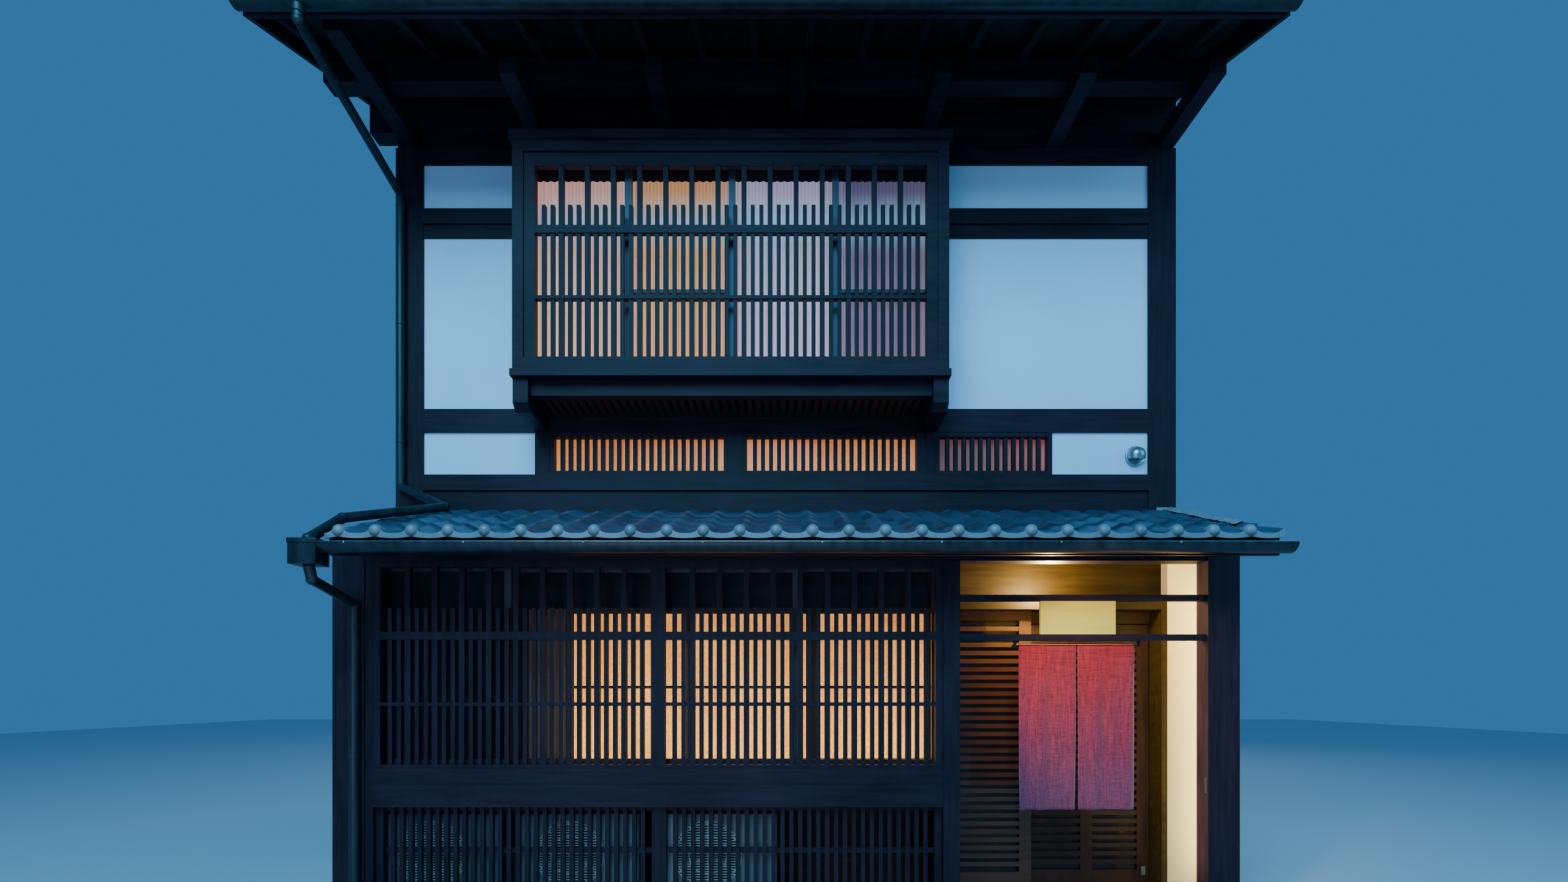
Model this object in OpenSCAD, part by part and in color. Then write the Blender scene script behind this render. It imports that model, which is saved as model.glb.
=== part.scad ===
// Machiya townhouse: a two-storey timber town house in a row, with a lattice front,
// a projecting upper window bay, a tiled pent roof over the street front and a gabled main roof.
// X runs along the street, +Y into the house, +Z up. The street front faces -Y.
// The origin is the middle of the footprint of the whole part, at ground level.

/* [House] */
// Width between the outer faces of the two party walls
house_w = 6000; // [5800:50:6400]
// Depth of the two-storey block, from the upper front wall face to the rear wall face
house_d = 7000; // [6000:100:8500]
// How far the ground-floor front stands ahead of the upper front wall
front_out = 700; // [640:20:800]
// Thickness of the party walls and the rear wall
wall_t = 150; // [120:10:180]
// Height of the stone footing
plinth_h = 120; // [90:10:150]
// Width of the corner posts
corner_post = 120; // [105:5:135]
// Width of the board that covers each party wall's end
edge_board = 90; // [70:5:100]
// Width of the intermediate posts
post_w = 110; // [100:5:120]
// Clear width of the entrance between its posts
entrance_w = 1640; // [1600:20:1800]

/* [Heights] */
// Underside of the koshi beam, where the lower lattice ends
koshi_z = 840; // [800:10:880]
// Height of the koshi beam
koshi_h = 150; // [120:10:170]
// Height of the window's sill rail on the koshi beam
sill_h = 105; // [80:5:120]
// Top of the ground-floor lattice, the underside of the front beam
lattice_top_z = 2470; // [2440:10:2490]
// Ground floor's finished level
floor_z = 420; // [380:20:500]
// Upper floor's finished level
upper_floor_z = 2960; // [2900:20:2980]
// Where the pent roof's tiles meet the upper wall
pent_top_z = 3020; // [3010:5:3060]
// Height of the lowest white band over the pent roof's top
band_over_roof = 250; // [230:5:280]
// Height of the band of low windows
band_h = 330; // [320:5:350]
// Height of the beam over the low windows
band_beam_h = 178; // [160:2:190]
// Height of the large white panels
panel_h = 1319; // [1250:1:1380]
// Height of the double beam over the large panels
double_beam_h = 215; // [195:5:235]
// Height of the upper white panels
top_panel_h = 348; // [320:2:380]
// Height of the head beam under the eave boarding
head_beam_h = 125; // [105:5:140]

/* [Roof] */
// Rise of the main roof for each metre of run
roof_rise = 450; // [400:10:500]
// Overhang of the street eave
eave_out = 1050; // [950:25:1150]
// Overhang of the rear eave
rear_out = 600; // [450:25:700]
// Overhang of the left verge
left_verge = 300; // [200:10:350]
// Overhang of the right verge
right_verge = 60; // [50:5:120]
// Height of the rafters' underside over the head beam, at the front wall face
rafter_seat_h = 465; // [430:5:520]
// Upright height of the rafters
rafter_h = 80; // [60:5:100]
// Width of the rafters
rafter_w = 50; // [40:5:65]
// Spacing of the rafters
rafter_pitch = 375; // [300:25:450]
// Upright thickness of the roof boarding
deck_h = 30; // [20:5:40]
// Upright thickness of the tiles with their bedding
tile_h = 70; // [60:5:80]
// Height of the ridge over the tiles
ridge_h = 220; // [160:10:260]
// Width of the ridge course
ridge_w = 240; // [200:10:280]
// Outer radius of the half-round gutters
gutter_r = 58; // [50:2:65]

/* [Pent roof] */
// Rise of the pent roof for each metre of run
pent_rise = 400; // [360:10:420]
// Overhang of the pent roof from the upper wall face
pent_out = 1070; // [1040:10:1200]
// Distance from the left party wall's face to the pent roof's left end
pent_left_in = 240; // [200:10:280]
// Distance from the right party wall's face to the pent roof's right end
pent_right_in = 20; // [10:5:60]
// Upright thickness of the pent roof's tiles
pent_tile_h = 60; // [50:5:65]
// Upright height of the pent roof's rafters
pent_rafter_h = 60; // [45:5:65]

/* [Lattices] */
// Spacing of the tall bars of the ground-floor lattice
ground_pitch = 180; // [170:1:200]
// Width of a tall bar of the ground-floor lattice
ground_tall_w = 37; // [30:1:40]
// Width of a short bar of the ground-floor lattice
ground_short_w = 28; // [22:1:32]
// Depth of the lattice bars
bar_d = 36; // [28:2:44]
// Width of a lattice panel's stiles
stile_w = 48; // [40:2:60]
// Height of the thick rail
thick_rail_h = 54; // [45:1:60]
// Height of the thin rail
thin_rail_h = 24; // [20:1:30]
// Spacing of the lower lattice's bars
lower_pitch = 60; // [54:1:70]
// Width of the lower lattice's bars
lower_bar_w = 29; // [22:1:32]

/* [Window bay] */
// Width of the upper window bay
bay_w = 3080; // [3000:20:3160]
// How far the window bay stands ahead of the upper wall
bay_out = 420; // [380:10:460]
// Height of the bay's bottom rail over the beam that carries it
bay_lift = 92; // [72:2:122]
// Height of the lattice opening in the bay
bay_open_h = 1377; // [1320:1:1420]
// Width of the bay's outer frame
bay_frame_w = 77; // [70:1:85]
// Spacing of the tall bars of the bay's lattice
bay_pitch = 188; // [176:1:200]
// Width of a tall bar of the bay's lattice
bay_tall_w = 34; // [28:1:38]
// Width of a short bar of the bay's lattice
bay_short_w = 28; // [22:1:30]

/* [Entrance] */
// How far the sliding door's face stands ahead of the upper wall face
door_out = 90; // [80:5:120]
// Width of the sliding door leaf
leaf_w = 1000; // [960:5:1010]
// Height of the fixed slatted panel
fixed_panel_h = 2120; // [2080:5:2150]
// Thickness of the door leaves
leaf_t = 34; // [30:1:38]
// Spacing of the door slats
slat_pitch = 61; // [54:1:70]
// Gap between the two door leaves and round the sliding one
running_gap = 8; // [6:1:10]
// Width of one noren panel
noren_w = 385; // [370:5:400]
// Length of the noren
noren_h = 1100; // [1000:10:1200]
// Thickness of the noren cloth
noren_t = 4; // [3:1:6]

/* [Hidden] */
$fn = 32;

metre = 1000;
half_w = house_w / 2;
ridge_y = house_d / 2;
face_y = -front_out;
post_back_y = face_y + corner_post;
gutter_gap = 12;
gutter_wall = 3;

// The part's reach, which sets the origin
reach_left = half_w + left_verge;
reach_right = half_w + right_verge;
reach_front = max(eave_out, pent_out) + gutter_gap + 2 * gutter_r;
reach_rear = house_d + rear_out + gutter_gap + 2 * gutter_r;
mid_x = (reach_right - reach_left) / 2;
mid_y = (reach_rear - reach_front) / 2;

// Places along the street
inner_x = half_w - wall_t;
corner_in_x = half_w - edge_board - corner_post;
mid_post_r = corner_in_x - entrance_w;
mid_post_l = mid_post_r - post_w;
jamb_w = 50;
lattice_l = -corner_in_x + jamb_w;
lattice_r = mid_post_l;
lattice_mid = (lattice_l + lattice_r) / 2;
bay_r = mid_post_r;
bay_l = bay_r - bay_w;
post_1 = bay_l;
post_3 = mid_post_l;
post_2 = (post_1 + post_3) / 2;

// Levels of the upper front wall
fascia_z = pent_top_z;
fascia_h = 130;
band_z = pent_top_z + band_over_roof;
beam_1_z = band_z + band_h;
panel_z = beam_1_z + band_beam_h;
bay_bottom_z = panel_z + bay_lift;
beam_2_z = panel_z + panel_h;
top_panel_z = beam_2_z + double_beam_h;
head_beam_z = top_panel_z + top_panel_h;
eave_board_z = head_beam_z + head_beam_h;
rafter_seat_z = eave_board_z + rafter_seat_h;
arm_w = 115;
wall_plate_z = eave_board_z + arm_w;
plate_out = 200;
panel_recess = 18;
panel_t = 70;

sill_z = koshi_z + koshi_h + sill_h;
sill_board_t = 30;
floor_t = 180;
girder_z = upper_floor_z - floor_t;
niche_t = 100;
niche_back_y = corner_post;
niche_front_y = corner_post - niche_t;
seat_gap = 0.3;

// Undersides of the two roofs at a distance y behind the upper wall face
function roof_under(y) = rafter_seat_z + (y < ridge_y ? y : house_d - y) * roof_rise / metre;
function deck_under(y) = roof_under(y) + rafter_h;
function tile_under(y) = deck_under(y) + deck_h;
function tile_top(y) = tile_under(y) + tile_h;
function pent_tile_top(y) = pent_top_z + y * pent_rise / metre;
function pent_tile_under(y) = pent_tile_top(y) - pent_tile_h;
function pent_deck_under(y) = pent_tile_under(y) - deck_h;
function pent_rafter_under(y) = pent_deck_under(y) - pent_rafter_h;

// Moves the house so that the origin is the middle of its footprint
module place() {
    translate([-mid_x, -mid_y, 0]) children();
}

// A box between two corners
module box(x0, x1, y0, y1, z0, z1) {
    translate([x0, y0, z0]) cube([x1 - x0, y1 - y0, z1 - z0]);
}

// A side profile, given as points of depth and height, drawn out along the street
module along_x(x0, x1, points) {
    translate([x0, 0, 0]) rotate([90, 0, 90]) linear_extrude(x1 - x0) polygon(points);
}

// Stone footing: kerb stones under the walls, the slab of the niche and the hard entrance floor
slab_drop = 40;
slab_h = plinth_h - slab_drop;
module base_stones() {
    kerb = wall_t;
    color("dimgray") {
        box(-half_w + kerb, mid_post_r, face_y + corner_post, niche_front_y, 0, slab_h);
        box(mid_post_r, half_w - kerb, corner_post, house_d - kerb, 0, slab_h);
        box(-half_w, -half_w + kerb, face_y, house_d, 0, plinth_h);
        box(half_w - kerb, half_w, face_y, house_d, 0, plinth_h);
        box(-half_w + kerb, mid_post_r, face_y, face_y + corner_post, 0, plinth_h);
        box(-half_w + kerb, half_w - kerb, house_d - kerb, house_d, 0, plinth_h);
    }
}

// Bearers under the raised floor, from the niche to the rear footing
floor_board_h = 40;
module floor_bearers() {
    bearer_w = 105;
    bearer_count = 5;
    step = (mid_post_r + inner_x - bearer_w) / (bearer_count - 1);
    color("saddlebrown")
        for (i = [0 : bearer_count - 1])
            box(-inner_x + i * step, -inner_x + i * step + bearer_w, niche_back_y, house_d - wall_t,
                0, floor_z - floor_board_h);
}

// Raised floor of boards behind the front wall
module ground_floor() {
    color("saddlebrown")
        box(-inner_x, mid_post_r, niche_back_y, house_d - wall_t, floor_z - floor_board_h, floor_z);
}

// Upper floor: boards on joists that span between the party walls
module upper_floor() {
    color("saddlebrown")
        box(-inner_x, inner_x, corner_post, house_d - wall_t, upper_floor_z - floor_t, upper_floor_z);
}

// The side profile of a party wall: both storeys, the gable and the lower front room
function party_profile() = [
    [post_back_y, plinth_h],
    [house_d, plinth_h],
    [house_d, deck_under(house_d)],
    [ridge_y, deck_under(ridge_y)],
    [corner_post, deck_under(corner_post)],
    [corner_post, pent_top_z],
    [0, pent_top_z],
    [0, pent_deck_under(0)],
    [post_back_y, pent_deck_under(post_back_y)]
];

module left_party_wall() {
    color("dimgray") along_x(-half_w, -inner_x, party_profile());
}

module right_party_wall() {
    color("dimgray") along_x(inner_x, half_w, party_profile());
}

// Rear openings, as centre, width, sill and head
rear_window_w = 1650;
rear_door_w = 1400;
rear_edge = 525;
rear_left_x = -inner_x + rear_edge + rear_window_w / 2;
rear_right_x = inner_x - rear_edge - rear_window_w / 2;
rear_door_edge = 200;
rear_door_x = inner_x - rear_door_edge - rear_door_w / 2;
rear_lower_sill_h = 780;
rear_lower_h = 1050;
rear_upper_sill_h = 940;
rear_upper_h = 1100;
rear_door_head = 2150;
rear_lower_sill = floor_z + rear_lower_sill_h;
rear_lower_head = rear_lower_sill + rear_lower_h;
rear_upper_sill = upper_floor_z + rear_upper_sill_h;
rear_upper_head = rear_upper_sill + rear_upper_h;
rear_openings = [
    [rear_left_x, rear_window_w, rear_lower_sill, rear_lower_head],
    [rear_door_x, rear_door_w, plinth_h, rear_door_head],
    [rear_left_x, rear_window_w, rear_upper_sill, rear_upper_head],
    [rear_right_x, rear_window_w, rear_upper_sill, rear_upper_head]
];

// Rear wall: plaster on a timber frame, with a window and a back door below and two windows above
module rear_wall() {
    color("lightgray") difference() {
        along_x(-inner_x, inner_x, [
            [house_d - wall_t, plinth_h],
            [house_d, plinth_h],
            [house_d, roof_under(house_d)],
            [house_d - wall_t, roof_under(house_d - wall_t)]
        ]);
        for (o = rear_openings)
            box(o[0] - o[1] / 2, o[0] + o[1] / 2, house_d - wall_t - 1, house_d + 1,
                o[2] - (o[2] == plinth_h ? 1 : 0), o[3]);
    }
}

// One framed pair of sliding sashes that fills a wall opening
module sash_pair(x0, x1, y0, z0, z1) {
    rail_w = 45;
    depth = 60;
    pane_w = (x1 - x0 - 3 * rail_w) / 2;
    difference() {
        box(x0, x1, y0, y0 + depth, z0, z1);
        for (pane_x = [x0 + rail_w, x1 - rail_w - pane_w])
            box(pane_x, pane_x + pane_w, y0 - 1, y0 + depth + 1, z0 + rail_w, z1 - rail_w);
    }
}

module rear_frames() {
    color("sienna")
        for (o = rear_openings)
            sash_pair(o[0] - o[1] / 2, o[0] + o[1] / 2, house_d - wall_t / 2, o[2], o[3]);
}

// Low wall behind the niche for the outdoor units, under the floor's front edge
module niche_wall() {
    color("dimgray") {
        box(-inner_x, mid_post_l, niche_front_y, niche_back_y, 0, sill_z - sill_board_t);
    }
}

// Boarded wall between the front room and the entrance recess
module entrance_side_wall() {
    color("saddlebrown")
        along_x(mid_post_l, mid_post_r, [
            [post_back_y, plinth_h],
            [corner_post, plinth_h],
            [corner_post, girder_z],
            [0, girder_z],
            [0, pent_rafter_under(0)],
            [post_back_y, pent_rafter_under(post_back_y)]
        ]);
}

// Posts of the ground-floor front, with the boards that cover the party walls' ends
module ground_posts() {
    side_post_in = 10;
    color("black") {
        for (span = [
            [-half_w, -half_w + edge_board],
            [-half_w + edge_board, -corner_in_x],
            [corner_in_x, half_w - edge_board],
            [half_w - edge_board, half_w]
        ])
            along_x(span[0], span[1], [
                [face_y, plinth_h],
                [post_back_y, plinth_h],
                [post_back_y, pent_deck_under(post_back_y)],
                [face_y, pent_deck_under(face_y)]
            ]);
        box(mid_post_l, mid_post_r, face_y, post_back_y, plinth_h, lattice_top_z);
        box(-corner_in_x, lattice_l, face_y + side_post_in, post_back_y, plinth_h, lattice_top_z);
    }
}

// Koshi beam and sill rail across the window bay, with the board over the niche
module koshi_beam() {
    beam_proud = 6;
    sill_in = 4;
    color("black") {
        box(lattice_l, lattice_r, face_y - beam_proud, post_back_y, koshi_z, koshi_z + koshi_h);
        box(lattice_l, lattice_r, face_y + sill_in, post_back_y, koshi_z + koshi_h, sill_z);
        box(-inner_x, lattice_r, post_back_y, niche_back_y, sill_z - sill_board_t, sill_z);
    }
}

// Beam over the lattice and the entrance, its top cut to the slope of the rafters,
// and the ceiling board of the window bay behind it
module front_beam() {
    beam_y = face_y + 8;
    panel_in = 8;
    panel_back = 4;
    color("black") {
        along_x(-corner_in_x, corner_in_x, [
            [beam_y, lattice_top_z],
            [post_back_y, lattice_top_z],
            [post_back_y, pent_rafter_under(post_back_y)],
            [beam_y, pent_rafter_under(beam_y)]
        ]);
        box(-inner_x, mid_post_l, post_back_y, corner_post, lattice_top_z, lattice_top_z + sill_board_t);
        box(-inner_x, mid_post_l, shoji_y, shoji_y + shoji_t, shoji_head_z, shoji_head_z + shoji_head_h);
        box(-inner_x, mid_post_l, shoji_y + panel_in, shoji_y + shoji_t - panel_back,
            shoji_head_z + shoji_head_h, lattice_top_z);
    }
}

// A lattice panel of tall bars with two short bars between each pair, on through rails.
// The short bars stop below the top and leave the head of the panel open.
rail_proud = 4;
short_in = 3;
module parent_child_lattice(x0, x1, y0, z0, z1, pitch, tall_w, short_w, short_top, rails) {
    count = max(2, round((x1 - x0) / pitch));
    step = (x1 - x0) / count;
    for (i = [0 : count - 1]) {
        if (i > 0)
            box(x0 + i * step - tall_w / 2, x0 + i * step + tall_w / 2, y0, y0 + bar_d, z0, z1);
        for (k = [1, 2])
            box(x0 + (i + k / 3) * step - short_w / 2, x0 + (i + k / 3) * step + short_w / 2,
                y0 + short_in, y0 + bar_d - short_in, z0, short_top);
    }
    for (rail = rails)
        box(x0, x1, y0 - rail_proud, y0 + bar_d, rail[0], rail[0] + rail[1]);
}

// One ground-floor lattice panel inside its frame of stiles and rails
module ground_lattice(x0, x1) {
    top_rail = 40;
    thick_rail_up = 852;
    thin_rail_up = 413;
    short_h = 1065;
    y0 = face_y + 16;
    color("black") union() {
        box(x0, x0 + stile_w, y0 - rail_proud, y0 + bar_d, sill_z, lattice_top_z);
        box(x1 - stile_w, x1, y0 - rail_proud, y0 + bar_d, sill_z, lattice_top_z);
        parent_child_lattice(x0 + stile_w, x1 - stile_w, y0, sill_z, lattice_top_z,
            ground_pitch, ground_tall_w, ground_short_w, sill_z + short_h, [
                [lattice_top_z - top_rail, top_rail],
                [sill_z + thick_rail_up, thick_rail_h],
                [sill_z + thin_rail_up, thin_rail_h],
                [sill_z, thin_rail_h]
            ]);
    }
}

module ground_lattice_left() {
    ground_lattice(lattice_l, lattice_mid);
}

module ground_lattice_right() {
    ground_lattice(lattice_mid, lattice_r);
}

// Lattice of even bars in front of the niche, below the koshi beam
module lower_lattice(x0, x1) {
    y0 = face_y + 50;
    rail_up = 400;
    rail_h = 36;
    rail_d = 16;
    bar_back = y0 + bar_d - 6;
    count = round((x1 - x0 - 2 * stile_w) / lower_pitch);
    step = (x1 - x0 - 2 * stile_w) / count;
    first = x0 + stile_w - lower_bar_w / 2;
    color("black") union() {
        box(x0, x0 + stile_w, y0 - rail_proud, y0 + bar_d, plinth_h, koshi_z);
        box(x1 - stile_w, x1, y0 - rail_proud, y0 + bar_d, plinth_h, koshi_z);
        for (i = [1 : count - 1])
            box(first + i * step, first + i * step + lower_bar_w, y0, bar_back, plinth_h, koshi_z);
        for (z = [plinth_h, plinth_h + rail_up, koshi_z - rail_h])
            box(x0, x1, y0 + bar_d - rail_d, y0 + bar_d, z, z + rail_h);
    }
}

module lower_lattice_left() {
    lower_lattice(lattice_l, lattice_mid);
}

module lower_lattice_right() {
    lower_lattice(lattice_mid, lattice_r);
}

// An open frame of stiles and rails
module frame(x0, x1, y0, y1, z0, z1, w) {
    difference() {
        box(x0, x1, y0, y1, z0, z1);
        box(x0 + w, x1 - w, y0 - 1, y1 + 1, z0 + w, z1 - w);
    }
}

// Four glazed sashes behind the ground-floor lattice, in two tracks
sash_t = 30;
sash_w = 46;
ground_sash_y = -560;
sash_head_z = lattice_top_z;
sash_step = (lattice_r + inner_x) / 4;
module ground_sashes() {
    color("dimgray")
        for (i = [0 : 3]) {
            y = ground_sash_y + (i == 0 || i == 3 ? 0 : sash_t);
            lap = i == 0 || i == 3 ? 0 : sash_w / 2;
            frame(-inner_x + i * sash_step - lap, -inner_x + (i + 1) * sash_step + lap, y, y + sash_t,
                sill_z, sash_head_z, sash_w);
        }
}

// Paper screens behind the sashes, from the blind to the entrance side, with the head board
// over them, each screen in a frame of stiles and rails with one level bar
shoji_in = 60;
shoji_w = 860;
shoji_count = 3;
shoji_y = ground_sash_y + 2 * sash_t + shoji_in;
shoji_l = lattice_r - shoji_count * shoji_w;
shoji_t = 30;
shoji_paper_t = 4;
shoji_stile = 40;
shoji_h = 1095;
shoji_head_z = sill_z + shoji_h;
shoji_head_h = 45;
shoji_gap = 2;
module ground_shoji() {
    mid_bar_z = sill_z + 530;
    mid_bar_h = 20;
    mid_bar_in = 4;
    paper_y = shoji_y + shoji_t / 2;
    color("moccasin")
        for (i = [0 : shoji_count - 1]) {
            x0 = shoji_l + i * shoji_w + (i > 0 ? shoji_gap : 0);
            x1 = shoji_l + (i + 1) * shoji_w;
            frame(x0, x1, shoji_y, shoji_y + shoji_t, sill_z, shoji_head_z, shoji_stile);
            box(x0 + shoji_stile, x1 - shoji_stile, paper_y, paper_y + shoji_paper_t,
                sill_z + shoji_stile, shoji_head_z - shoji_stile);
            box(x0 + shoji_stile, x1 - shoji_stile, shoji_y + mid_bar_in, paper_y,
                mid_bar_z, mid_bar_z + mid_bar_h);
        }
}

// Paper screens behind the low windows of the upper floor
module low_papers() {
    paper_t = 6;
    paper_y = low_glass_y + 12;
    color("moccasin")
        for (span = low_spans)
            box(span[0], span[1], paper_y, paper_y + paper_t, band_z, beam_1_z);
}

// Three outdoor units in the niche: a steel case on two feet, with a recessed round fan opening
unit_w = 800;
unit_d = 300;
unit_h = 560;
unit_pitch = 941;
unit_fan_r = 235;
unit_fan_x = 330;
module outdoor_units() {
    unit_count = 3;
    fan_depth = 39;
    foot_in = 80;
    foot_w = 60;
    foot_setback = 20;
    foot_h = 130;
    unit_z = slab_h + foot_h;
    front = face_y + 130;
    first = lattice_l - 5;
    color("lightgray")
        for (i = [0 : unit_count - 1])
            translate([first + i * unit_pitch, front, 0]) {
                difference() {
                    box(0, unit_w, 0, unit_d, unit_z, unit_z + unit_h);
                    translate([unit_fan_x, -1, unit_z + unit_h / 2])
                        rotate([-90, 0, 0]) cylinder(r = unit_fan_r, h = fan_depth + 1);
                }
                for (x = [foot_in, unit_w - foot_in - foot_w])
                    box(x, x + foot_w, foot_setback, unit_d - foot_setback, slab_h, unit_z);
            }
}

// Door frame at the back of the entrance: jambs, head, boarding over it and the stone sill
frame_front_y = -210;
step_h = 90;
head_z = step_h + fixed_panel_h;
head_h = 90;
door_in = 20;
door_r = corner_in_x - door_in;
door_l = mid_post_r;
module entrance_frame() {
    board_y = -60;
    track_w = 8;
    track_mid_y = rear_track_y + leaf_t / 2;
    color("saddlebrown") {
        box(door_r, inner_x, frame_front_y, corner_post, step_h, head_z);
        box(door_l, inner_x, frame_front_y, corner_post, head_z, head_z + head_h);
        along_x(door_l, inner_x, [
            [board_y, head_z + head_h],
            [0, head_z + head_h],
            [0, pent_rafter_under(0)],
            [board_y, pent_rafter_under(board_y)]
        ]);
        box(door_l, door_r, rear_track_y, rear_track_y + leaf_t, leaf_top + running_gap, head_z);
        box(door_l, door_r, track_mid_y - track_w / 2, track_mid_y + track_w / 2, step_h, leaf_z - seat_gap);
        box(door_l, inner_x, frame_front_y, corner_post, 0, step_h);
    }
}

// Two square bars across the head of the entrance, between the posts
bar_h = 42;
bar_y = face_y + 20;
bar_back_y = bar_y + bar_h;
upper_bar_drop = 265;
lower_bar_drop = 528;
upper_bar_z = lattice_top_z - upper_bar_drop;
lower_bar_z = lattice_top_z - lower_bar_drop;
module entrance_bars() {
    color("black")
        for (z = [lower_bar_z, upper_bar_z])
            box(mid_post_r, corner_in_x, bar_y, bar_back_y, z, z + bar_h);
}

// A door leaf with level slats between its stiles, and a muntin where it has one
door_bottom_rail = 150;
door_top_rail = 70;
door_glass_t = 5;
glass_in = 4;
slat_h = 34;
slat_in = 2;
slat_t = 18;
muntin_x = 480;
module slatted_leaf(x0, x1, y0, z0, z1, stile, muntin = 0) {
    first = z0 + door_bottom_rail;
    last = z1 - door_top_rail;
    count = floor((last - first) / slat_pitch);
    step = (last - first) / count;
    difference() {
        box(x0, x1, y0, y0 + leaf_t, z0, z1);
        box(x0 + stile, x1 - stile, y0 - 1, y0 + leaf_t + 1, first, last);
    }
    for (i = [1 : count - 1])
        box(x0 + stile, x1 - stile, y0 + slat_in, y0 + slat_in + slat_t,
            first + i * step - slat_h / 2, first + i * step + slat_h / 2);
    if (muntin > 0)
        box(x0 + muntin, x0 + muntin + stile, y0, y0 + leaf_t, first, last);
}

// Fixed leaf on the left of the entrance, in the front track
leaf_r = door_r - running_gap;
leaf_l = leaf_r - leaf_w;
leaf_z = step_h + running_gap;
transom_h = 90;
leaf_top = head_z - running_gap - transom_h;
door_stile = 90;
front_track_y = -door_out;
rear_track_y = front_track_y + leaf_t + running_gap;
module fixed_slat_panel() {
    color("black")
        slatted_leaf(door_l, leaf_l + door_stile, front_track_y, step_h, head_z, door_stile);
}

// Sliding leaf of the entrance, in the rear track: it runs to the left behind the fixed leaf
module sliding_door() {
    color("black")
        slatted_leaf(leaf_l, leaf_r, rear_track_y, leaf_z, leaf_top, door_stile, muntin_x);
}

// Glass behind the slats of the sliding leaf, on both sides of its muntin
module sliding_glass() {
    back = rear_track_y + leaf_t - glass_in;
    color("lightblue", 0.4)
        for (span = [
            [leaf_l + door_stile, leaf_l + muntin_x],
            [leaf_l + muntin_x + door_stile, leaf_r - door_stile]
        ])
            box(span[0], span[1], back - door_glass_t, back,
                leaf_z + door_bottom_rail, leaf_top - door_top_rail);
}

// Bare sign board that stands on the lower bar and leans on the upper one
module sign_board() {
    sign_w = 500;
    sign_t = 20;
    sign_x = mid_post_r + 540;
    sign_y = bar_y + 2;
    color("burlywood")
        box(sign_x, sign_x + sign_w, sign_y, sign_y + sign_t, lower_bar_z + bar_h, upper_bar_z);
}

// Rod of the noren, behind the lower bar
rod_r = 9;
rod_drop = 30;
noren_in = 410;
noren_x = mid_post_r + noren_in;
noren_gap = 8;
strap_t = 4;
strap_bite = 2;
rod_y = bar_back_y + strap_t + rod_r - strap_bite;
rod_z = lower_bar_z - rod_drop;
module noren_rod() {
    rod_end = 40;
    strap_in = 5;
    strap_w = 20;
    rod_l = noren_x - rod_end;
    rod_len = 2 * noren_w + noren_gap + 2 * rod_end;
    color("black") {
        translate([rod_l, rod_y, rod_z]) rotate([0, 90, 0]) cylinder(r = rod_r, h = rod_len);
        for (x = [rod_l + strap_in, rod_l + rod_len - strap_in - strap_w])
            box(x, x + strap_w, bar_back_y, bar_back_y + strap_t, rod_z, lower_bar_z + bar_h);
    }
}

// Noren: two hemp panels that hang from the rod by a sleeve
module noren() {
    top = rod_z - rod_r - seat_gap;
    color("indianred")
        for (x = [noren_x, noren_x + noren_w + noren_gap])
            box(x, x + noren_w, rod_y - noren_t / 2, rod_y + noren_t / 2, top - noren_h, top);
}

// Posts of the upper front wall, with the boards over the party walls' ends
module upper_posts() {
    color("black") {
        for (span = [
            [-half_w, -half_w + edge_board],
            [-half_w + edge_board, -corner_in_x],
            [corner_in_x, half_w - edge_board],
            [half_w - edge_board, half_w]
        ])
            box(span[0], span[1], 0, corner_post, pent_top_z, eave_board_z);
        for (x = [post_1, post_2, post_3])
            box(x, x + post_w, 0, corner_post, band_z, beam_1_z);
        for (x = [post_1, post_3])
            box(x, x + post_w, 0, corner_post, panel_z, head_beam_z);
    }
}

// Level beams of the upper front wall, from the fascia over the pent roof to the wall plate
plate_in = 30;
module upper_beams() {
    lower_half = 100;
    lower_half_in = 4;
    fascia_in = 6;
    color("black") {
        box(-inner_x, inner_x, 0, corner_post, girder_z, pent_top_z);
        box(-corner_in_x, corner_in_x, fascia_in, corner_post, fascia_z, fascia_z + fascia_h);
        box(post_1 + post_w, post_3, 0, corner_post, panel_z, bay_bottom_z);
        box(post_1 + post_w, post_3, 0, corner_post, bay_top_z, head_beam_z);
        box(-corner_in_x, corner_in_x, -wall_beam_proud, corner_post, fascia_z + fascia_h, band_z);
        box(-corner_in_x, corner_in_x, 0, corner_post, beam_1_z, panel_z);
        for (side = [[-corner_in_x, post_1], [post_3 + post_w, corner_in_x]]) {
            box(side[0], side[1], lower_half_in, corner_post, beam_2_z, beam_2_z + lower_half);
            box(side[0], side[1], -wall_beam_proud, corner_post, beam_2_z + lower_half, top_panel_z);
        }
        box(-corner_in_x, corner_in_x, 0, corner_post, head_beam_z, eave_board_z);
        box(-half_w, half_w, plate_in, corner_post, eave_board_z, wall_plate_z);
        along_x(-half_w - plate_out, half_w, [
            [0, wall_plate_z],
            [corner_post, wall_plate_z],
            [corner_post, roof_under(corner_post)],
            [0, roof_under(0)]
        ]);
    }
}

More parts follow.
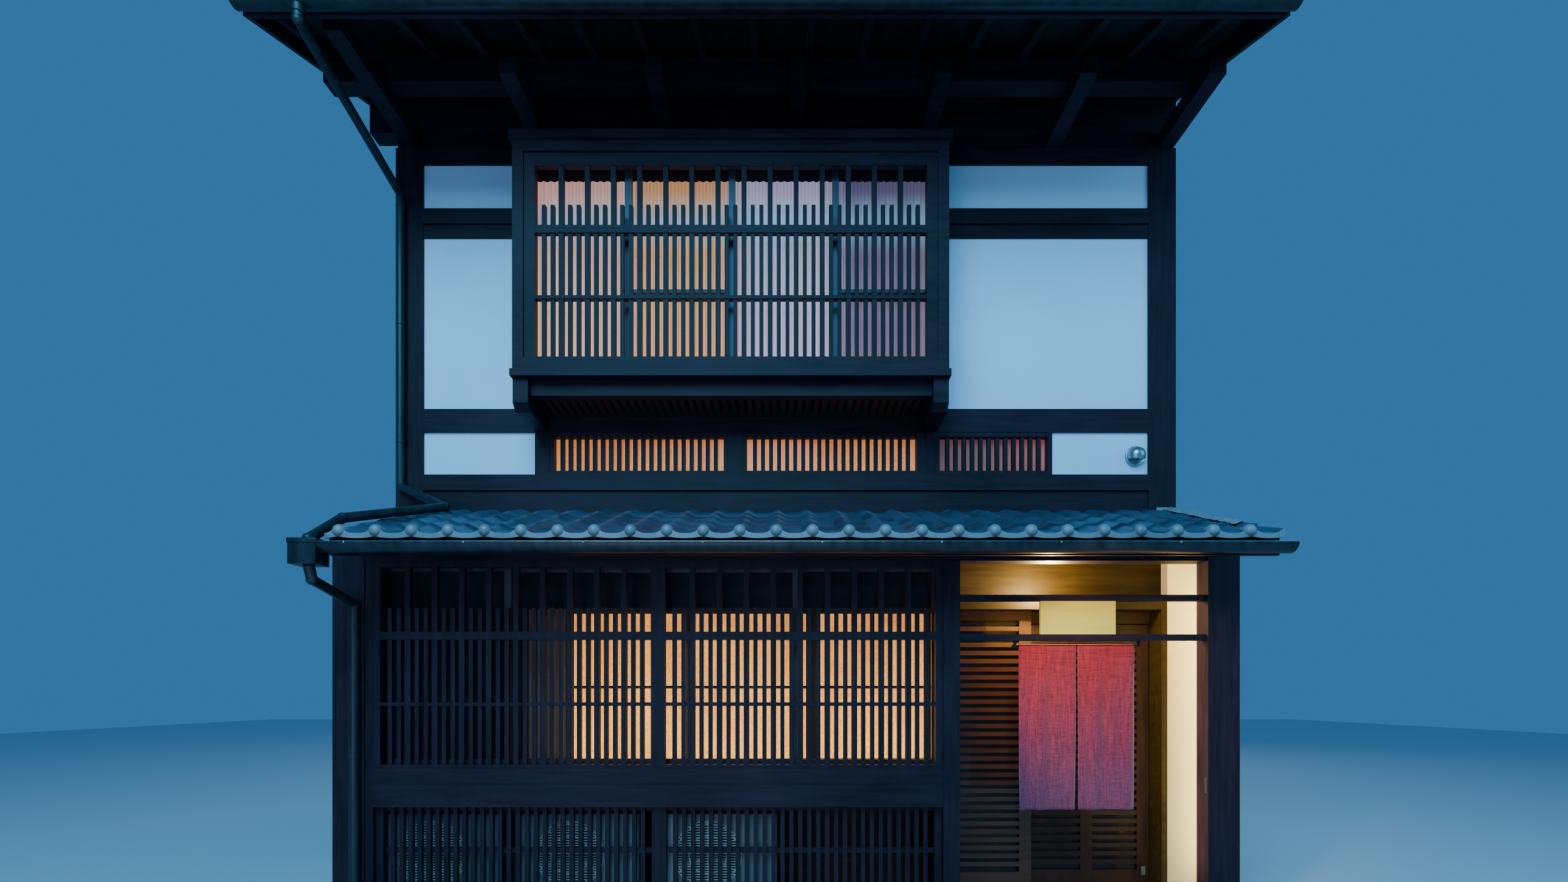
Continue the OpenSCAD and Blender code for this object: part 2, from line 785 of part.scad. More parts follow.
// White lime plaster between the timbers, and on the right side of the entrance
module plaster_panels() {
    panel_back = panel_recess + panel_t;
    side_panel_in = 20;
    color("white") {
        for (side = [[-corner_in_x, post_1], [post_3 + post_w, corner_in_x]]) {
            box(side[0], side[1], panel_recess, panel_back, panel_z, beam_2_z);
            box(side[0], side[1], panel_recess, panel_back, top_panel_z, head_beam_z);
        }
        box(-corner_in_x, post_1, panel_recess, panel_back, band_z, beam_1_z);
        box(low_window_r, corner_in_x, panel_recess, panel_back, band_z, beam_1_z);
        box(corner_in_x + side_panel_in, inner_x, post_back_y, frame_front_y,
            plinth_h, pent_deck_under(post_back_y));
    }
}

// Low windows over the pent roof: frames with close upright bars
low_window_l = post_3 + post_w;
low_window_w = 900;
low_window_r = low_window_l + low_window_w;
low_spans = [[post_1 + post_w, post_2], [post_2 + post_w, post_3], [low_window_l, low_window_r]];
low_frame = 34;
low_frame_y = 4;
low_glass_y = 64;
low_pitch = 62;
low_bar_w = 30;
module low_window(x0, x1) {
    bars_y = low_frame_y + 10;
    count = round((x1 - x0 - 2 * low_frame) / low_pitch);
    step = (x1 - x0 - 2 * low_frame) / count;
    first = x0 + low_frame - low_bar_w / 2;
    frame(x0, x1, low_frame_y, low_glass_y, band_z, beam_1_z, low_frame);
    for (i = [1 : count - 1])
        box(first + i * step, first + i * step + low_bar_w, bars_y, bars_y + low_bar_w,
            band_z + low_frame, beam_1_z - low_frame);
}

module low_windows() {
    color("black")
        for (span = low_spans)
            low_window(span[0], span[1]);
}

// Frame of the window bay: cap, outer frame, inner frame and side boards back to the wall
cap_h = 60;
inner_frame_w = 76;
bottom_rail_h = 91;
bay_open_z = bay_bottom_z + bottom_rail_h;
bay_open_top = bay_open_z + bay_open_h;
bay_top_z = bay_open_top + bay_frame_w + inner_frame_w;
bay_side_t = 40;
bay_inner_l = bay_l + bay_frame_w + inner_frame_w;
bay_inner_r = bay_r - bay_frame_w - inner_frame_w;
bay_frame_d = 76;
module bay_frame() {
    front = -bay_out;
    inner_in = 14;
    cap_out = 20;
    color("black") {
        difference() {
            box(bay_l, bay_r, front, front + bay_frame_d, bay_bottom_z, bay_top_z);
            box(bay_l + bay_frame_w, bay_r - bay_frame_w, front - 1, front + inner_in,
                bay_open_z, bay_open_top + inner_frame_w);
            box(bay_inner_l, bay_inner_r, front, front + bay_frame_d + 1, bay_open_z, bay_open_top);
        }
        for (x = [bay_l, bay_r - bay_side_t])
            box(x, x + bay_side_t, front + bay_frame_d, 0, bay_bottom_z, bay_top_z);
        box(bay_l - cap_out, bay_r + cap_out, front - cap_out, 0, bay_top_z, bay_top_z + cap_h);
    }
}

// Lattice of the window bay, with the same tall and short bars
module bay_lattice() {
    lattice_in = 20;
    thick_rail_up = 888;
    thin_rail_up = 421;
    short_h = 1089;
    edge = 12;
    color("black") union()
        parent_child_lattice(bay_inner_l, bay_inner_r, -bay_out + lattice_in, bay_open_z, bay_open_top,
            bay_pitch, bay_tall_w, bay_short_w, bay_open_z + short_h, [
                [bay_open_z, edge],
                [bay_open_z + thick_rail_up, thick_rail_h],
                [bay_open_z + thin_rail_up, thin_rail_h],
                [bay_open_top - edge, edge]
            ]);
}

// Sill lip, recessed beam and end brackets under the window bay. The brackets' feet are
// chamfered at the front, and they stand against the beam of the wall.
bay_lip_h = 50;
bay_lip_z = bay_bottom_z - bay_lip_h;
bay_beam_h = 105;
bay_beam_y = -bay_out + 60;
bay_beam_d = 70;
bracket_w = 108;
wall_beam_proud = 12;
module bay_sill() {
    bracket_h = 225;
    bracket_in = 10;
    bracket_toe = 50;
    lip_side = 10;
    lip_out = 24;
    color("black") {
        box(bay_l - lip_side, bay_r + lip_side, -bay_out - lip_out, 0, bay_lip_z, bay_bottom_z);
        box(bay_l + bracket_w, bay_r - bracket_w, bay_beam_y, bay_beam_y + bay_beam_d,
            bay_lip_z - bay_beam_h, bay_lip_z);
        for (x = [bay_l, bay_r - bracket_w])
            along_x(x, x + bracket_w, [
                [-bay_out + bracket_in, bay_lip_z],
                [-bay_out + bracket_in, bay_lip_z - bracket_h + bracket_toe],
                [-bay_out + bracket_in + bracket_toe, bay_lip_z - bracket_h],
                [-wall_beam_proud, bay_lip_z - bracket_h],
                [-wall_beam_proud, bay_lip_z]
            ]);
    }
}

// Slatted soffit between the recessed beam and the wall: slats on two battens
module bay_soffit() {
    slat_w = 38;
    board_t = 20;
    slat_step = 62;
    batten = 24;
    z0 = bay_lip_z - bay_beam_h;
    y0 = bay_beam_y + bay_beam_d;
    x0 = bay_l + bracket_w;
    x1 = bay_r - bracket_w;
    count = floor((x1 - x0) / slat_step);
    step = (x1 - x0 - slat_w) / count;
    color("black") union() {
        for (i = [0 : count])
            box(x0 + i * step, x0 + i * step + slat_w, y0, 0, z0, z0 + board_t);
        for (y = [y0, -batten])
            box(x0, x1, y, y + batten, z0 + board_t / 2, z0 + board_t + batten);
    }
}

// Four glazed sashes in the window bay, the second and fourth with a level bar on each face
bay_sash_in = 110;
bay_sash_y = -bay_out + bay_sash_in;
bay_muntin_up = 630;
bay_muntin_z = bay_bottom_z + bay_muntin_up;
bay_muntin_h = 24;
bay_muntin_d = 10;
module bay_sashes() {
    x0 = bay_l + bay_side_t;
    x1 = bay_r - bay_side_t;
    step = (x1 - x0) / 4;
    color("slategray")
        for (i = [0 : 3]) {
            y = bay_sash_y + (i % 2) * sash_t;
            lap_l = i == 0 ? 0 : sash_w / 2;
            lap_r = i == 3 ? 0 : sash_w / 2;
            frame(x0 + i * step - lap_l, x0 + (i + 1) * step + lap_r, y, y + sash_t,
                bay_bottom_z, bay_top_z, sash_w);
            if (i % 2 == 1)
                for (bar_y = [y, y + sash_t - bay_muntin_d])
                    box(x0 + i * step - lap_l + sash_w, x0 + (i + 1) * step + lap_r - sash_w,
                        bar_y, bar_y + bay_muntin_d, bay_muntin_z, bay_muntin_z + bay_muntin_h);
        }
}

// Plain drawn curtain behind the bay's sashes
module bay_curtain() {
    curtain_in = 50;
    curtain_t = 10;
    y = bay_sash_y + 2 * sash_t + curtain_in;
    color("navajowhite")
        box(bay_l + bay_side_t, bay_r - bay_side_t, y, y + curtain_t, bay_bottom_z, bay_top_z);
}

// Glass of the front windows, one pane to a sash, and of the rear windows
module window_glass() {
    glass_t = 4;
    pane_in = 13;
    door_pane_y = front_track_y + leaf_t - glass_in;
    color("lightblue", 0.4) {
        for (i = [0 : 3]) {
            y = ground_sash_y + (i == 0 || i == 3 ? 0 : sash_t) + pane_in;
            lap = i == 0 || i == 3 ? 0 : sash_w / 2;
            box(-inner_x + i * sash_step - lap + sash_w, -inner_x + (i + 1) * sash_step + lap - sash_w,
                y, y + glass_t, sill_z + sash_w, sash_head_z - sash_w);
        }
        bay_step = (bay_w - 2 * bay_side_t) / 4;
        for (i = [0 : 3]) {
            y = bay_sash_y + (i % 2) * sash_t + pane_in;
            lap_l = i == 0 ? 0 : sash_w / 2;
            lap_r = i == 3 ? 0 : sash_w / 2;
            box(bay_l + bay_side_t + i * bay_step - lap_l + sash_w,
                bay_l + bay_side_t + (i + 1) * bay_step + lap_r - sash_w, y, y + glass_t,
                bay_bottom_z + sash_w, bay_top_z - sash_w);
        }
        box(door_l + door_stile, leaf_l, door_pane_y - door_glass_t, door_pane_y,
            step_h + door_bottom_rail, head_z - door_top_rail);
        for (span = low_spans)
            box(span[0], span[1], low_glass_y, low_glass_y + glass_t, band_z, beam_1_z);
        for (o = rear_openings)
            box(o[0] - o[1] / 2, o[0] + o[1] / 2, house_d - wall_t / 2 - glass_t, house_d - wall_t / 2,
                o[2], o[3]);
    }
}

// Boarding of the pent roof
pent_l = -half_w + pent_left_in;
pent_r = half_w - pent_right_in;
module pent_deck() {
    color("saddlebrown")
        along_x(pent_l, pent_r, [
            [-pent_out, pent_deck_under(-pent_out)],
            [0, pent_deck_under(0)],
            [0, pent_tile_under(0)],
            [-pent_out, pent_tile_under(-pent_out)]
        ]);
}

// Tiles of the pent roof as one bed, in level courses
tile_out = 30;
module pent_tiles() {
    eave_y = -pent_out - tile_out;
    color("darkslategray")
        along_x(pent_l, pent_r, [
            [eave_y, pent_tile_under(eave_y)],
            [0, pent_tile_under(0)],
            [0, pent_tile_top(0)],
            [eave_y, pent_tile_top(eave_y)]
        ]);
}

// Rafters of the pent roof, from the girder over the front beam to the eave
fascia_t = 25;
module pent_rafters() {
    front = -pent_out + fascia_t;
    side_in = 30;
    first = -corner_in_x + side_in;
    count = floor((2 * (corner_in_x - side_in) - rafter_w) / rafter_pitch);
    color("saddlebrown")
        for (i = [0 : count])
            along_x(first + i * rafter_pitch, first + i * rafter_pitch + rafter_w, [
                [front, pent_rafter_under(front)],
                [0, pent_rafter_under(0)],
                [0, pent_deck_under(0)],
                [front, pent_deck_under(front)]
            ]);
}

// Places of the main roof's rafters: between the party walls and under the left verge
barge_t = 30;
main_rafter_in = 60;
main_rafter_l = -reach_left + main_rafter_in;
function main_rafters() = [
    for (i = [0 : floor((reach_left + inner_x) / rafter_pitch)])
        let (x = main_rafter_l + i * rafter_pitch)
            if (x + rafter_w < -half_w || (x > -inner_x && x + rafter_w < inner_x)) x
];

// One sloping timber of a main rafter between two depths
module slope_timber(x, y0, y1) {
    along_x(x, x + rafter_w, [
        [y0, roof_under(y0)],
        [y1, roof_under(y1)],
        [y1, deck_under(y1)],
        [y0, deck_under(y0)]
    ]);
}

// Rafters of the street slope, from the ridge beam to the eave
module front_rafters() {
    color("saddlebrown")
        for (x = main_rafters())
            slope_timber(x, -eave_out + fascia_t, ridge_y - ridge_beam_w / 2);
}

// Rafters of the rear slope
module rear_rafters() {
    color("saddlebrown")
        for (x = main_rafters())
            slope_timber(x, ridge_y + ridge_beam_w / 2, house_d + rear_out - fascia_t);
}

// Ridge beam between the gables, with the short length that carries the left verge
ridge_beam_w = 120;
ridge_beam_h = 210;
module ridge_beam() {
    color("saddlebrown")
        for (span = [[-inner_x, inner_x], [-reach_left + barge_t, -half_w]])
            along_x(span[0], span[1], [
                [ridge_y - ridge_beam_w / 2, deck_under(ridge_y) - ridge_beam_h],
                [ridge_y + ridge_beam_w / 2, deck_under(ridge_y) - ridge_beam_h],
                [ridge_y + ridge_beam_w / 2, deck_under(ridge_y + ridge_beam_w / 2)],
                [ridge_y, deck_under(ridge_y)],
                [ridge_y - ridge_beam_w / 2, deck_under(ridge_y - ridge_beam_w / 2)]
            ]);
}

// Eave purlin carried on arms that stand out from the front wall
purlin_front_y = -420;
purlin_d = 120;
arm_out = 600;
long_arm_out = 890;
arm_pitch = 985;
arm_count = 6;
arm_in = 72;
module eave_purlin() {
    purlin_in = 40;
    last_arm_in = 20;
    arm_first = -half_w + arm_in;
    arm_last = half_w - arm_w - last_arm_in;
    color("black") {
        along_x(-reach_left + purlin_in, half_w, [
            [purlin_front_y, eave_board_z + arm_w],
            [purlin_front_y + purlin_d, eave_board_z + arm_w],
            [purlin_front_y + purlin_d, roof_under(purlin_front_y + purlin_d)],
            [purlin_front_y, roof_under(purlin_front_y)]
        ]);
        for (x = concat([for (i = [0 : arm_count - 1]) arm_first + i * arm_pitch], [arm_last]))
            if (x + arm_w < half_w)
                box(x, x + arm_w, x == arm_first ? -long_arm_out : -arm_out, plate_in,
                    eave_board_z, eave_board_z + arm_w);
    }
}

// Boarding of the main roof
module main_deck() {
    color("saddlebrown")
        along_x(-reach_left, reach_right, [
            [-eave_out, deck_under(-eave_out)],
            [ridge_y, deck_under(ridge_y)],
            [house_d + rear_out, deck_under(house_d + rear_out)],
            [house_d + rear_out, tile_under(house_d + rear_out)],
            [ridge_y, tile_under(ridge_y)],
            [-eave_out, tile_under(-eave_out)]
        ]);
}

// Tiles of the main roof, both slopes
module main_tiles() {
    front_y = -eave_out - tile_out;
    rear_y = house_d + rear_out + tile_out;
    color("darkslategray")
        along_x(-reach_left, reach_right, [
            [front_y, tile_under(front_y)],
            [ridge_y, tile_under(ridge_y)],
            [rear_y, tile_under(rear_y)],
            [rear_y, tile_top(rear_y)],
            [ridge_y, tile_top(ridge_y)],
            [front_y, tile_top(front_y)]
        ]);
}

// Ridge courses with a half-round cap, on the meeting of the two slopes
module roof_ridge() {
    cap_r = 75;
    cap_z = tile_top(ridge_y) + ridge_h - cap_r;
    side = ridge_w / 2;
    color("darkslategray")
        along_x(-reach_left, reach_right, concat(
            [[ridge_y - side, tile_top(ridge_y - side)]],
            [[ridge_y, tile_top(ridge_y)]],
            [[ridge_y + side, tile_top(ridge_y + side)]],
            [[ridge_y + side, cap_z]],
            [for (a = [0 : 15 : 180]) [ridge_y + cap_r * cos(a), cap_z + cap_r * sin(a)]],
            [[ridge_y - side, cap_z]]
        ));
}

// Barge boards under the two verges and fascia boards at the eaves
module eave_boards() {
    barge_h = 150;
    barge_runs = [[-eave_out, ridge_y - seat_gap], [house_d + rear_out, ridge_y + seat_gap]];
    board_end = barge_t + seat_gap;
    board_h = main_gutter_drop + 30;
    pent_board_h = 75;
    color("black") {
        for (x = [-reach_left, reach_right - barge_t], run = barge_runs)
            along_x(x, x + barge_t, [
                [run[0], deck_under(run[0]) - barge_h],
                [run[1], deck_under(run[1]) - barge_h],
                [run[1], deck_under(run[1])],
                [run[0], deck_under(run[0])]
            ]);
        for (y = [[-eave_out, -eave_out + fascia_t], [house_d + rear_out, house_d + rear_out - fascia_t]])
            along_x(-reach_left + board_end, reach_right - board_end, [
                [y[0], deck_under(y[0]) - board_h],
                [y[1], deck_under(y[0]) - board_h],
                [y[1], deck_under(y[1])],
                [y[0], deck_under(y[0])]
            ]);
        along_x(pent_l, pent_r, [
            [-pent_out, pent_deck_under(-pent_out) - pent_board_h],
            [-pent_out + fascia_t, pent_deck_under(-pent_out) - pent_board_h],
            [-pent_out + fascia_t, pent_deck_under(-pent_out + fascia_t)],
            [-pent_out, pent_deck_under(-pent_out)]
        ]);
    }
}

// A half-round gutter on strap hangers that reach back to the eave
module gutter(x0, x1, y, z, back_y, pitch) {
    hanger_w = 25;
    hanger_h = 16;
    hanger_drop = 4;
    first = x0 + 150;
    last = x1 - 100;
    wall_y = y + sign(back_y - y) * (gutter_r - gutter_wall);
    translate([x0, y, z]) rotate([90, 0, 90]) linear_extrude(x1 - x0)
        difference() {
            circle(r = gutter_r);
            circle(r = gutter_r - gutter_wall);
            translate([-gutter_r - 1, 0]) square([2 * gutter_r + 2, gutter_r + 1]);
        }
    for (x = [first : pitch : last])
        box(x, x + hanger_w, min(back_y, wall_y), max(back_y, wall_y),
            z - hanger_drop - hanger_h, z - hanger_drop);
}

pent_gutter_drop = 50;
pent_gutter_z = pent_tile_under(-pent_out) - pent_gutter_drop;
pent_gutter_y = -pent_out - gutter_gap - gutter_r;
main_gutter_drop = 115;
main_gutter_z = deck_under(-eave_out) - main_gutter_drop;
main_gutter_y = -eave_out - gutter_gap - gutter_r;
rear_gutter_z = deck_under(house_d + rear_out) - main_gutter_drop;
rear_gutter_y = house_d + rear_out + gutter_gap + gutter_r;
rain_head_w = 165;
rain_head_h = 150;
rain_head_in = 82;
rain_head_over = 20;
rain_head_l = -half_w + rain_head_in;
rain_head_r = rain_head_l + rain_head_w;
rain_head_top = pent_gutter_z + rain_head_over;
rain_head_z = rain_head_top - rain_head_h;
outlet_in = 90;
outlet_x = -half_w + outlet_in;
outlet_h = 40;
pipe_socket = 5;
module gutters() {
    pent_hanger_pitch = 700;
    main_hanger_pitch = 900;
    color("black") {
        gutter(rain_head_r, half_w, pent_gutter_y, pent_gutter_z, -pent_out, pent_hanger_pitch);
        gutter(-reach_left, reach_right, main_gutter_y, main_gutter_z, -eave_out, main_hanger_pitch);
        translate([outlet_x, main_gutter_y, main_gutter_z - gutter_r - outlet_h])
            cylinder(r = pipe_r + pipe_socket, h = outlet_h + gutter_wall);
        gutter(-reach_left, reach_right, rear_gutter_y, rear_gutter_z, house_d + rear_out, main_hanger_pitch);
    }
}

// Rain pipes: from the main gutter to the corner, down it, over the pent roof, through the rain
// head at the end of the pent gutter and down the post
pipe_r = 30;
elbow_t = 3;
module pipe_run(points) {
    for (i = [0 : len(points) - 2]) {
        step = points[i + 1] - points[i];
        run = norm(step);
        translate(points[i])
            rotate([0, acos(step[2] / run), atan2(step[1], step[0])])
                cylinder(r = pipe_r, h = run);
    }
    for (i = [1 : len(points) - 2])
        translate(points[i]) sphere(r = pipe_r + elbow_t);
}

// Clips round an upright run, from the lowest one up
clip_count = 3;
module pipe_clips(x, y, lowest_z, pitch) {
    clip_t = 4;
    clip_h = 25;
    for (i = [0 : clip_count - 1])
        translate([x, y, lowest_z + i * pitch]) cylinder(r = pipe_r + clip_t, h = clip_h);
}

module downpipes() {
    wall_gap = pipe_r + elbow_t + 2;
    roof_gap = pipe_r + 8;
    corner_in = 60;
    corner_x = -half_w + corner_in;
    outlet_z = main_gutter_z - gutter_r - outlet_h;
    drop_straight = 40;
    drop_slant = 210;
    foot_up = 150;
    bend_in = 470;
    bend_y = -290;
    eave_in = 170;
    head_mid = rain_head_l + rain_head_w / 2;
    head_slant = 40;
    head_bite = 10;
    head_bend = 10;
    spout_bite = 2;
    spout_back = 30;
    spout_h = 80;
    lower_in = 166;
    lower_x = -half_w + lower_in;
    lower_drop = 840;
    lower_foot = 20;
    upper_clip_up = 480;
    upper_clip_pitch = 900;
    lower_clip_up = 200;
    lower_clip_pitch = 850;
    color("dimgray") {
        pipe_clips(corner_x, -wall_gap, pent_top_z + upper_clip_up, upper_clip_pitch);
        pipe_clips(lower_x, face_y - wall_gap, plinth_h + lower_clip_up, lower_clip_pitch);
        pipe_run([
            [outlet_x, main_gutter_y, outlet_z],
            [outlet_x, main_gutter_y, outlet_z - drop_straight],
            [corner_x, -wall_gap, outlet_z - drop_straight - drop_slant],
            [corner_x, -wall_gap, pent_top_z + foot_up],
            [corner_x + bend_in, bend_y, pent_tile_top(bend_y) + roof_gap],
            [head_mid + head_slant, -pent_out + eave_in, pent_tile_top(-pent_out + eave_in) + roof_gap],
            [head_mid, pent_gutter_y, rain_head_top + head_bend],
            [head_mid, pent_gutter_y, rain_head_top - head_bite]
        ]);
        box(rain_head_l, rain_head_r, pent_gutter_y - gutter_r, pent_gutter_y + gutter_r,
            rain_head_z, rain_head_top);
        pipe_run([
            [head_mid, pent_gutter_y, rain_head_z + spout_bite],
            [head_mid, pent_gutter_y + spout_back, rain_head_z - spout_h],
            [lower_x, face_y - wall_gap, pent_top_z - lower_drop],
            [lower_x, face_y - wall_gap, lower_foot]
        ]);
    }
}

// Round cast vent hood in the small right panel: a flange and a dome
module vent_hood() {
    hood_r = 75;
    hood_in = 100;
    hood_up = 145;
    flange_t = 25;
    dome_r = 67;
    color("silver")
        translate([corner_in_x - hood_in, panel_recess, band_z + hood_up]) {
            rotate([90, 0, 0]) cylinder(r = hood_r, h = flange_t);
            translate([0, -flange_t, 0]) difference() {
                sphere(r = dome_r);
                box(-hood_r, hood_r, 0, hood_r, -hood_r, hood_r);
            }
        }
}

place() base_stones();
place() floor_bearers();
place() ground_floor();
place() upper_floor();
place() left_party_wall();
place() right_party_wall();
place() rear_wall();
place() rear_frames();
place() niche_wall();
place() entrance_side_wall();
place() ground_posts();
place() koshi_beam();
place() front_beam();
place() ground_lattice_left();
place() ground_lattice_right();
place() lower_lattice_left();
place() lower_lattice_right();
place() ground_sashes();
place() ground_shoji();
place() low_papers();
place() outdoor_units();
place() entrance_frame();
place() entrance_bars();
place() fixed_slat_panel();
place() sliding_door();
place() sliding_glass();
place() sign_board();
place() noren_rod();
place() noren();
place() upper_posts();
place() upper_beams();
place() plaster_panels();
place() low_windows();
place() bay_frame();
place() bay_lattice();
place() bay_sill();
place() bay_soffit();
place() bay_sashes();
place() bay_curtain();
place() window_glass();
place() pent_rafters();
place() pent_deck();
place() pent_tiles();
place() eave_purlin();
place() ridge_beam();
place() front_rafters();
place() rear_rafters();
place() main_deck();
place() main_tiles();
place() roof_ridge();
place() eave_boards();
place() gutters();
place() downpipes();
place() vent_hood();
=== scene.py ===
import math
import random

import bpy
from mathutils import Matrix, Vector


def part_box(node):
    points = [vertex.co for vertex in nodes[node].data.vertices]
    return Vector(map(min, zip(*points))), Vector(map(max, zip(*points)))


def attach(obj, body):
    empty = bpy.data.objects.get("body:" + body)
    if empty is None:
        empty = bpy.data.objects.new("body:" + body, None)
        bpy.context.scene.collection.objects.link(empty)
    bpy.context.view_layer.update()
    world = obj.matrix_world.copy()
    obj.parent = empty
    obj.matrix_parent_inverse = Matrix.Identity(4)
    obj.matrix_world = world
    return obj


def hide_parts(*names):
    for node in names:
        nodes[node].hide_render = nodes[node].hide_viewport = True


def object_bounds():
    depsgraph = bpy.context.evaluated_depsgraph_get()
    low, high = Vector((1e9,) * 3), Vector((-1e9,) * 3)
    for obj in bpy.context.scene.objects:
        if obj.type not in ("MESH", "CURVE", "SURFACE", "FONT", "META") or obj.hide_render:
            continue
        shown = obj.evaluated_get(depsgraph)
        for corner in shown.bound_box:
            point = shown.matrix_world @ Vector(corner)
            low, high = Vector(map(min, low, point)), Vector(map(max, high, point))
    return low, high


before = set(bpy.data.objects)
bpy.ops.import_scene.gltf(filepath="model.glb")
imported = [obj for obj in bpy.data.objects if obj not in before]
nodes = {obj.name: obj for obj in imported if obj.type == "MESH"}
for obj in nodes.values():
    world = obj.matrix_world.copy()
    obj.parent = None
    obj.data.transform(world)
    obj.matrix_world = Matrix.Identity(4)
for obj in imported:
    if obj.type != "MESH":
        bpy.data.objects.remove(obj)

cad_low, cad_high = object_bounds()

# Camera
# The photograph was taken level from the street, at eye height, with a wide lens shifted
# upwards. The upper front wall stands 4.99 m away, a little to the right of the lens.
wall_face_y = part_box("upper_posts")[0].y
house_mid_x = (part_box("left_party_wall")[0].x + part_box("right_party_wall")[1].x) / 2
CAMERA_DISTANCE = 4.99
CAMERA_HEIGHT = 1.60
CAMERA_SIDE = -0.014
FOCAL_PX = 1066.0
PHOTO_W = 2576.0
HORIZON_BELOW_CENTRE_PX = 412.5

camera_data = bpy.data.cameras.new("street_camera")
camera_data.sensor_width = 36.0
camera_data.lens = 36.0 * FOCAL_PX / PHOTO_W
camera_data.shift_y = HORIZON_BELOW_CENTRE_PX / PHOTO_W
camera_data.clip_end = 200.0
camera = bpy.data.objects.new("street_camera", camera_data)
camera.location = (house_mid_x + CAMERA_SIDE, wall_face_y - CAMERA_DISTANCE, CAMERA_HEIGHT)
camera.rotation_euler = (math.radians(90), 0, 0)
bpy.context.scene.collection.objects.link(camera)
bpy.context.scene.camera = camera

# Studio floor and light
# A plain pale floor and large soft lamps, cool like a late sky, so that the lit windows glow.
FLOOR_SIZE = 60.0
bpy.ops.object.select_all(action="DESELECT")
bpy.ops.mesh.primitive_plane_add(size=FLOOR_SIZE, location=(0, 0, cad_low.z))
floor = bpy.context.object
floor.name = "studio_floor"
floor_finish = bpy.data.materials.new("studio_floor")
floor_finish.use_nodes = True
floor_surface = floor_finish.node_tree.nodes["Principled BSDF"]
floor_surface.inputs["Base Color"].default_value = (0.62, 0.64, 0.67, 1)
floor_surface.inputs["Roughness"].default_value = 0.8
floor.data.materials.append(floor_finish)

sky = bpy.data.worlds.new("studio_sky")
bpy.context.scene.world = sky
sky.use_nodes = True
sky_background = sky.node_tree.nodes["Background"]
sky_background.inputs["Color"].default_value = (0.09, 0.40, 0.95, 1)
sky_background.inputs["Strength"].default_value = 0.42

WARM_LIGHT = (1.0, 0.64, 0.24)
SKY_LIGHT = (0.18, 0.65, 1.0)


def add_lamp(name, kind, place, aim, watts, colour, **values):
    lamp_data = bpy.data.lights.new(name, kind)
    lamp_data.energy = watts
    lamp_data.color = colour
    for label, value in values.items():
        setattr(lamp_data, label, value)
    lamp = bpy.data.objects.new(name, lamp_data)
    lamp.location = place
    lamp.rotation_euler = Vector(aim).to_track_quat("-Z", "Y").to_euler()
    bpy.context.scene.collection.objects.link(lamp)
    return lamp


def add_softbox(name, place, look_at, size, watts, colour):
    add_lamp(name, "AREA", place, Vector(look_at) - Vector(place), watts, colour, shape="SQUARE", size=size)


add_softbox("street_softbox", (-2.0, wall_face_y - 9.0, 10.0), (0, wall_face_y, 3.5), 7.0, 1600, SKY_LIGHT)
add_softbox("right_softbox", (9.0, wall_face_y - 5.0, 6.0), (0, wall_face_y, 3.0), 5.0, 200,
            (0.20, 0.65, 1.0))
add_softbox("low_softbox", (-1.5, wall_face_y - 6.5, 1.0), (0, wall_face_y, 2.0), 3.0, 60, (0.85, 0.85, 1.0))
add_softbox("rear_softbox", (3.0, cad_high.y + 8.0, 8.0), (0, cad_high.y, 3.0), 6.0, 500, (0.55, 0.80, 1.0))

# A small warm lamp hidden behind the upper entrance bar lights the porch. A warm spot from the
# street lights the noren, and a narrow strip beside the door washes the plaster side.
add_lamp("porch_lamp", "POINT", (house_mid_x + 1.88, wall_face_y - 0.35, 2.34), (0, 0, -1), 80, WARM_LIGHT,
         shadow_soft_size=0.05).visible_camera = False
spot_place = Vector((house_mid_x + 1.20, wall_face_y - 2.30, 2.50))
spot_target = Vector((house_mid_x + 2.25, wall_face_y - 0.60, 1.55))
add_lamp("porch_spot", "SPOT", spot_place, spot_target - spot_place, 150, WARM_LIGHT,
         spot_size=math.radians(50), spot_blend=0.7, shadow_soft_size=0.10)
add_lamp("wall_wash", "AREA", (house_mid_x + 2.60, wall_face_y - 0.60, 1.35), (1.0, 0.8, 0.0), 10,
         (1.0, 0.70, 0.34), shape="RECTANGLE", size=0.1, size_y=2.0).visible_camera = False


# Shared node groups
# These functions make the nodes that several finishes need. All timber finishes share the wood
# grain group; the tiles and the noren have groups of their own further down.
def new_group(name, inputs, outputs):
    group = bpy.data.node_groups.new(name, "ShaderNodeTree")
    for label, kind, value in inputs:
        socket = group.interface.new_socket(label, in_out="INPUT", socket_type=kind)
        socket.default_value = value
    for label, kind in outputs:
        group.interface.new_socket(label, in_out="OUTPUT", socket_type=kind)
    start = group.nodes.new("NodeGroupInput")
    end = group.nodes.new("NodeGroupOutput")
    return group, start, end


def add_node(tree, kind, **values):
    node = tree.nodes.new(kind)
    for label, value in values.items():
        if label.startswith("in_"):
            key = label[3:].replace("_", " ").title()
            node.inputs[int(key) if key.isdigit() else key].default_value = value
        else:
            setattr(node, label, value)
    return node


def ramp_between(tree, source, low, high, to_low=0.0, to_high=1.0):
    part = add_node(tree, "ShaderNodeMapRange", in_From_Min=low, in_From_Max=high, in_To_Min=to_low,
                    in_To_Max=to_high)
    tree.links.new(source, part.inputs["Value"])
    return part.outputs["Result"]


